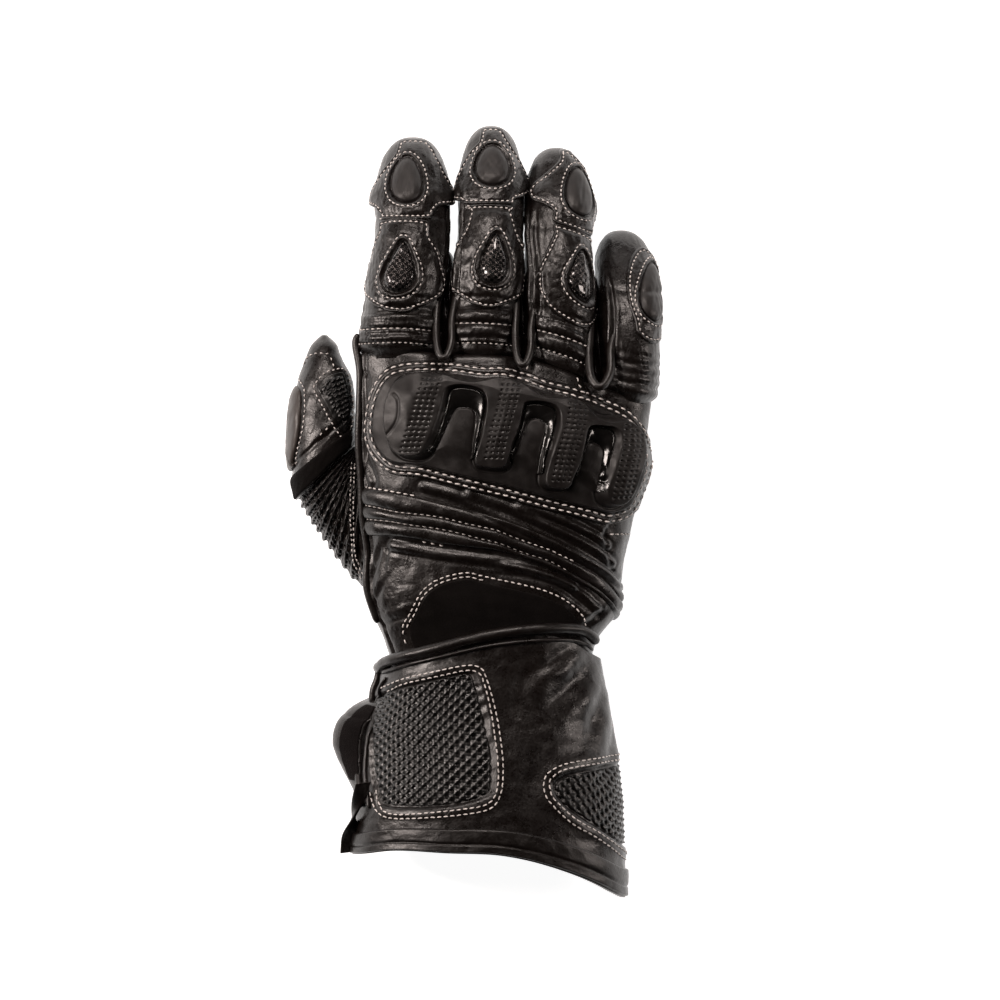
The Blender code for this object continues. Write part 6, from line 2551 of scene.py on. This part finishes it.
@dataclass
class Cuff:
    """The cuff: leather, pipings, hem, two lattice patches, closing flap, loop strip and tab.

    Args:
        leather: what the cuff and the flap are made of.
        gloss: what the rolled edges, the hem and the tab are made of.
        mesh: what the lattices are made of.
        pile: what the loops on the flap are made of.
        thread: what it is sewn with.
        piping: middle line of the rolled edge at the top, as x and y seen from above.
        under_piping: middle line of the thin cord below it.
        wrap: middle line of the rolled edge of the overlap at the left.
        wrap_inner: middle line of the thin cord inside it.
        patch: outline of the left lattice.
        sewn: outer row of stitches round the left lattice.
        right_sewn: outer row of stitches round the right lattice.
        right_patch: outline of the right lattice as far as the silhouette.
        inner_shifts: from each point of right_sewn to the inner row.
    """

    leather: Leather
    gloss: Leather
    mesh: Plastic
    pile: Suede
    thread: Thread
    piping: Rows = (
        (-50.4, -11.2), (-47.6, -8.4), (-40.8, -6.0), (-31.6, -3.6), (-17.2, 0.4), (-2.8, 3.6),
        (12.0, 5.2), (24.8, 5.2), (30.8, 3.6), (34.8, -0.4),
    )
    under_piping: Rows = (
        (-49.2, -12.4), (-40.8, -9.6), (-30.0, -6.8), (-13.6, -2.8), (-2.8, -0.8), (8.4, 0.4),
        (19.2, 0.8), (26.4, 0.4), (31.2, -1.2), (34.0, -3.6),
    )
    wrap: Rows = (
        (-49.2, -10.0), (-52.4, -15.2), (-54.8, -22.4), (-56.8, -32.0), (-58.0, -44.4),
        (-58.0, -56.4), (-57.2, -65.6),
    )
    wrap_inner: Rows = (
        (-47.6, -14.4), (-50.4, -20.0), (-52.8, -26.4), (-54.4, -35.2), (-55.2, -44.8),
        (-55.2, -56.0), (-54.4, -66.0),
    )
    patch: Rows = (
        (-53.2, -25.6), (-46.4, -20.0), (-32.8, -16.0), (-16.4, -12.4), (-13.2, -16.0),
        (-10.8, -24.0), (-8.4, -34.0), (-6.4, -44.4), (-6.4, -55.6), (-9.6, -60.0),
        (-24.4, -63.6), (-46.8, -64.4), (-50.8, -60.4), (-53.6, -44.4),
    )
    sewn: Rows = (
        (-49.6, -18.8), (-40.8, -14.8), (-28.0, -11.6), (-16.4, -9.2), (-11.6, -9.6),
        (-8.8, -12.4), (-5.2, -24.0), (-2.8, -36.4), (-1.6, -48.4), (-2.4, -58.8), (-6.4, -64.8),
        (-16.4, -67.2), (-32.8, -68.8), (-46.0, -69.2), (-51.6, -66.4), (-54.0, -59.2),
    )
    right_sewn: Rows = (
        (44.4, -45.2), (31.6, -46.4), (22.0, -48.0), (16.4, -50.8), (14.4, -54.8), (15.2, -60.4),
        (19.6, -66.0), (26.0, -71.6), (34.0, -76.4), (41.2, -81.6), (47.6, -87.2),
    )
    right_patch: Rows = (
        (44.4, -49.6), (33.2, -50.8), (24.4, -52.4), (20.0, -54.8), (19.2, -58.4), (22.0, -62.8),
        (28.0, -67.6), (35.6, -72.4), (42.0, -76.8), (46.8, -80.8),
    )

    inner_shifts: Rows = ((0.0, -2.1),) * 3 + ((1.6, -1.6), (2.1, 0.0), (2.1, 0.4)) + ((1.5, 1.6),) * 5

    def cord(self, name: str, skin: Skin, path: Rows, radius: float, lift: float, *replaced: str) -> None:
        """A cord of leather along a plan path on the cuff, tapering at both ends.

        Args:
            name: the piece's name.
            skin: the cuff's leather.
            path: its middle line, as x and y.
            radius: in millimetres.
            lift: height of its middle off the leather.
            replaced: the CAD nodes that it stands for.
        """
        cloth = skin.spot(smooth(path, 1.0))
        line = even_steps(skin.lay(cloth[:, 0], cloth[:, 1], lift), 0.7)
        count = np.arange(len(line))
        size = radius * rounded(np.minimum(count, count[::-1]) + 0.4, 4.0)
        size *= 1 + 0.05 * ripple(count * 0.7, 0.0 * count, 11.0, 95)
        make_cord(name, line, size, 22, self.gloss, *replaced)

    def lattice(self, name: str, skin: Skin, loop: Array, node: str) -> None:
        """A moulded lattice set in its window: products of cosines, sharpened into dots and holes.

        Args:
            name: the piece's name.
            skin: the cuff's leather.
            loop: the window's outline in cloth coordinates.
            node: the CAD node that it stands for.
        """
        low, high = loop.min(0) - 0.8, loop.max(0) + 0.8
        v, w = (np.linspace(low[k], high[k], int((high[k] - low[k]) / 0.34)) for k in (0, 1))
        v, w = np.meshgrid(v, w, indexing="ij")
        depth = inside_depth(v, w, loop[::2])
        wave = np.cos(2 * np.pi * w / 4.4) * np.cos(2 * np.pi * v / 4.5)
        peak, pit = np.clip(wave, 0, 1), np.clip(-wave, 0, 1)
        lift = 0.75 + 0.15 * peak + 0.50 * peak**12 - 1.1 * pit**1.6
        lift = (lift + 1.0) * ease(0.0, 0.5, depth) - 1.0
        top, bottom = skin.lay(v, w, lift), skin.lay(v, w, -1.4)
        make_piece(name, *closed_slab(top, bottom), self.mesh, node, turn_out=True)

    def flap(self, skin: Skin) -> None:
        """The closing flap: arcs from the cuff's left side out to its reach and back, with loops.

        Args:
            skin: the cuff's leather.
        """
        share = np.linspace(0, 1, 90)
        table = Table(("s", "v", "foot", "top", "reach"), (
            (0.0, 15.0, -110.0, -80.0, 1.5), (0.15, 18.5, -113.0, -79.0, 9.0),
            (0.35, 25.0, -117.0, -78.0, 13.6), (0.55, 36.0, -118.0, -77.0, 14.4),
            (0.8, 47.0, -117.0, -77.0, 11.0), (1.0, 60.0, -113.0, -78.0, 4.0),
        ))
        v = table.read("v", share)
        top = skin.lay(v, skin.arc(v, np.radians(table.read("top", share))), -0.2)
        foot = skin.lay(v, skin.arc(v, np.radians(table.read("foot", share))), -0.2)
        out = np.array((-1.0, 0.0, 0.12))

        def sheet(low: float, high: float, lift: float, rows: int) -> Array:
            """Arcs from the top line to the foot line, bulging outwards by a power of a sine.

            Args:
                low: share from the top line at its start.
                high: the same at its end.
                lift: millimetres outwards.
                rows: points from one to the other.

            Returns:
                The points of the sheet.
            """
            s = np.linspace(low, high, rows)[:, None, None]
            bulge = np.sin(np.pi * s) ** 0.75 * (table.read("reach", share)[None, :, None] + lift)
            return top[None] * (1 - s) + foot[None] * s + out * bulge

        make_piece("flap", *closed_slab(sheet(0, 1, 0.0, 40), sheet(0, 1, -1.7, 40)), self.leather,
                   "closing_flap", turn_out=True)
        loops = sheet(0.03, 0.22, 0.7, 24)[:, 8:82]
        loops[..., 2] += 0.5
        under = sheet(0.03, 0.22, -0.6, 24)[:, 8:82]
        make_piece("flap_loops", *closed_slab(loops, under), self.pile, "loop_strip", turn_out=True)

    def tab(self) -> None:
        """A ribbon twisted half a turn: its section turns evenly along its path."""
        guide = ((-56.8, -55.5, 50.0), (-58.6, -62.0, 46.5), (-60.6, -69.0, 42.5), (-61.8, -76.5, 39.0),
                 (-62.4, -84.0, 35.5))
        path = smooth(guide, 0.5)
        s = np.linspace(0, 1, len(path))
        turn = np.radians(-20 + 190 * ease(0.1, 0.85, s))
        wide = 3.2 - 1.0 * bell(s - 0.42, 0.2) + 0.8 * ease(0.5, 0.8, s)
        round_ = np.linspace(0, 2 * np.pi, 28, endpoint=False)
        across, up = oval(round_, 2.8, 2.8)
        a, b = across[None] * wide[:, None], up[None] * 0.9
        x = a * np.cos(turn)[:, None] - b * np.sin(turn)[:, None]
        z = a * np.sin(turn)[:, None] + b * np.cos(turn)[:, None]
        points = path[:, None] + np.stack((x, 0.12 * x, z), -1)
        make_piece("twisted_tab", *closed_rings(points), self.gloss, "pull_tab", turn_out=True)

    def pipings(self, skin: Skin) -> None:
        """Makes the rolled edges of the top and of the overlap, each with a thin cord beside it.

        Args:
            skin: the cuff's leather.
        """
        self.cord("top_piping", skin, self.piping, 2.15, 1.2, "cuff_piping")
        self.cord("top_piping_lower", skin, self.under_piping, 0.8, 0.5)
        self.cord("wrap_cord", skin, self.wrap, 1.35, 1.0, "wrap_piping")
        self.cord("wrap_cord_inner", skin, self.wrap_inner, 0.8, 0.4)

    def stitches(self, skin: Skin) -> None:
        """Sews a double row round each lattice.

        Args:
            skin: the cuff's leather.
        """
        rows = Sewing("cuff_stitches", self.thread)
        sewn = smooth(self.sewn, 1.0)
        rows.plan(skin, sewn[::3], Seam.BACK, 0.2)
        centre = sewn.mean(0)
        inner = sewn + (centre - sewn) / np.linalg.norm(centre - sewn, axis=1, keepdims=True) * 2.1
        rows.plan(skin, inner[::3], Seam.BACK, 0.2)
        rows.plan(skin, self.right_sewn, Seam.BACK, 0.2)
        rows.plan(skin, np.array(self.right_sewn) + np.array(self.inner_shifts), Seam.BACK, 0.2)
        rows.finished()

    def hem(self, skin: Skin) -> None:
        """Makes the doubled hem: a rounded band with a groove along its fold.

        Args:
            skin: the cuff's leather.
        """
        w = np.linspace(-88, 74, 60)
        lines = [np.stack((89.6 - shift + 0 * w, w), -1) for shift in (0.0, 3.6, 10.4)]

        def swell(share: Array, _v: Array, _w: Array) -> Array:
            """Quarter circles at both edges and a bell-shaped groove between the two bands."""
            edges = 0.9 * rounded(share, 0.18) * rounded(2 - share, 0.14)
            return 0.3 + edges - 0.5 * bell(share - 1.0, 0.10)

        Strip("hem", skin, lines, swell, self.gloss, ("cuff_hem",), 260, 16).build()

    def build(self) -> None:
        """Makes the cuff, then all that is sewn on it."""
        skin = CuffSkin(self)
        rings = np.linspace(0, 1, 168) * skin.length
        skin.shell("cuff_leather", rings, 290, self.leather, "cuff", wall=1.8)
        self.pipings(skin)
        self.lattice("left_lattice", skin, skin.left, "left_cuff_patch")
        self.lattice("right_lattice", skin, skin.right, "right_cuff_patch")
        self.stitches(skin)
        self.hem(skin)
        self.flap(skin)
        self.tab()


@dataclass
class Webs:
    """The side pieces of the fingers where they meet, dark and folded between the stalls.

    Args:
        leather: what they are made of.
        places: for each web, x and y of its root and of its end, and its half width, in mm.
    """

    leather: Leather
    places: Rows = (
        (-25.4, 110.0, -23.6, 156.0, 4.2), (6.8, 107.0, 6.4, 150.0, 4.6),
        (37.8, 96.0, 35.0, 146.0, 5.0),
    )

    def build(self) -> None:
        """Each is a stack of ovals that sinks and narrows to its end, with a fold down its middle."""
        for number, (x0, y0, x1, y1, half) in enumerate(self.places):
            s = np.linspace(0, 1, 120)[:, None]
            turn = np.linspace(0, 2 * np.pi, 60, endpoint=False)[None, :]
            size = np.sqrt(np.clip(1 - s**6, 0.0004, 1))
            across, up = oval(-turn, 2.4, 2.4)
            fold = 1 - 0.34 * bell(across - 0.1 * np.sin(7 * s), 0.28) * (up > 0)
            x = x0 + (x1 - x0) * s + half * size * across + 0.5 * ripple(s * 30, 0 * s, 12.0, 31 + number)
            uneven = 0.6 * ripple(s * 40, across * 3, 9.0, 35 + number)
            z = 15.0 + (17.5 - 6.0 * s) * size * up * fold + uneven
            y = y0 + (y1 - y0) * s + 0 * turn
            make_piece(f"web_{number + 1}", *closed_rings(np.stack(np.broadcast_arrays(x, y, z), -1)),
                       self.leather, turn_out=True)


@dataclass(frozen=True)
class Studio:
    """The floor, the lamps and the camera, with the photograph's view straight from above.

    Args:
        middle: pattern millimetres under the picture's middle.
        across: millimetres across the picture at the glove's height.
        height: the glove's height, in millimetres.
        distance: from the camera to that height, in metres.
        warm: colour of the lamps.
        lamps: for each lamp its name, place in metres, two sides in metres and watts.
    """

    middle: tuple[float, float] = (-2.8, 56.0)
    across: float = 400.0
    height: float = 24.0
    distance: float = 1.9
    warm: Colour = (1.0, 0.88, 0.82)
    lamps: tuple[tuple[str, Place, tuple[float, float], float], ...] = (
        ("left_window", (-1.00, 0.30, 0.80), (0.25, 0.6), 14.0),
        ("right_window", (1.05, 0.10, 0.55), (0.15, 0.6), 3.6),
        ("top_window", (-0.10, 1.00, 0.95), (0.7, 0.2), 10.0),
    )

    def floor(self) -> None:
        """A pale sheet of paper six metres wide."""
        mesh = bpy.data.meshes.new("floor")
        half = 3.0
        corners = [(-half, -half, 0), (half, -half, 0), (half, half, 0), (-half, half, 0)]
        mesh.from_pydata(corners, [], [(0, 1, 2, 3)])
        mesh.materials.append(Floor().material())
        paper = bpy.data.objects.new("floor", mesh)
        bpy.context.scene.collection.objects.link(paper)

    def lamp(self, name: str, place: Place, size: tuple[float, float], power: float) -> None:
        """A soft rectangular lamp that looks at the middle of the glove.

        Args:
            name: the lamp's name.
            place: where it stands, in metres.
            size: its two sides, in metres.
            power: in watts.
        """
        data = bpy.data.lights.new(name, "AREA")
        data.shape, data.size, data.size_y, data.energy = "RECTANGLE", size[0], size[1], power
        data.color = self.warm
        lamp = bpy.data.objects.new(name, data)
        lamp.location = place
        look = np.array((0.0, 0.0, 0.02)) - np.array(place)
        lamp.rotation_euler = Vector(look).to_track_quat("-Z", "Y").to_euler()
        bpy.context.scene.collection.objects.link(lamp)

    def camera(self) -> None:
        """A long lens straight above, its sensor as wide as the picture at the glove's height."""
        data = bpy.data.cameras.new("camera")
        data.sensor_width = 36.0
        data.lens = 36.0 * self.distance / (self.across * MM)
        camera = bpy.data.objects.new("camera", data)
        x, y = self.middle[0] + SHIFT[0], self.middle[1] + SHIFT[1]
        camera.location = (x * MM, y * MM, self.height * MM + self.distance)
        bpy.context.scene.collection.objects.link(camera)
        bpy.context.scene.camera = camera

    def build(self) -> None:
        """Clears Blender's own lamp and camera, then sets the studio."""
        for old in [o for o in bpy.data.objects if o.type in ("LIGHT", "CAMERA")]:
            bpy.data.objects.remove(old)
        world = bpy.data.worlds.new("studio")
        bpy.context.scene.world = world
        world.use_nodes = True
        world.node_tree.nodes["Background"].inputs["Color"].default_value = (1.0, 1.0, 1.0, 1.0)
        world.node_tree.nodes["Background"].inputs["Strength"].default_value = 0.006
        bpy.context.scene.view_settings.view_transform = "Standard"
        self.floor()
        for lamp in self.lamps:
            self.lamp(*lamp)
        self.camera()


def main() -> None:
    """Dresses every part of the glove in order and sets the studio."""
    logging.basicConfig(level=logging.INFO, format="%(message)s")
    leather = Leather()
    gloss = Leather("edge_leather", rough=0.34, grain=0.00006)
    rubber = Plastic("pad_rubber", "pad_rubber", (0.009, 0.0072, 0.0066), 0.46, 0.00002)
    plastic = Plastic(level=0.32)
    # darker, shinier plastic: the slot walls' own shine, and painted shade in the dimples
    walls = Plastic("guard_gloss_and_dimple_shade", "guard_plastic", (0.004, 0.0036, 0.0034), 0.15, 0.0)
    mesh = Plastic("lattice", "grip_mesh", (0.0014, 0.0012, 0.0011), 0.30, 0.00002)
    slider = Plastic("thumb_rubber", "pad_rubber", (0.030, 0.024, 0.021), 0.40, 0.00002)
    suede = Suede()
    pile = Suede("loop_pile", "loop_pile", (0.005, 0.004, 0.004), 0.06, 0.0005)
    carbon, thread = Carbon(), Thread()
    Studio().build()
    fingers = [Finger(sizes, leather, rubber, carbon, thread) for sizes in FINGERS]
    for finger in fingers:
        finger.build()
    hand = HandSkin()
    Webs(leather).build()
    Back(hand, fingers[0].skin, leather, suede, gloss, thread).build()
    KnuckleGuard(hand, leather, plastic, walls, thread).build()
    # the suede also makes the thumb's dark base band, painted shade on its lower lobe
    Thumb(leather, suede, slider, mesh, thread).build()
    Cuff(leather, gloss, mesh, pile, thread).build()


if __name__ == "__main__":
    main()
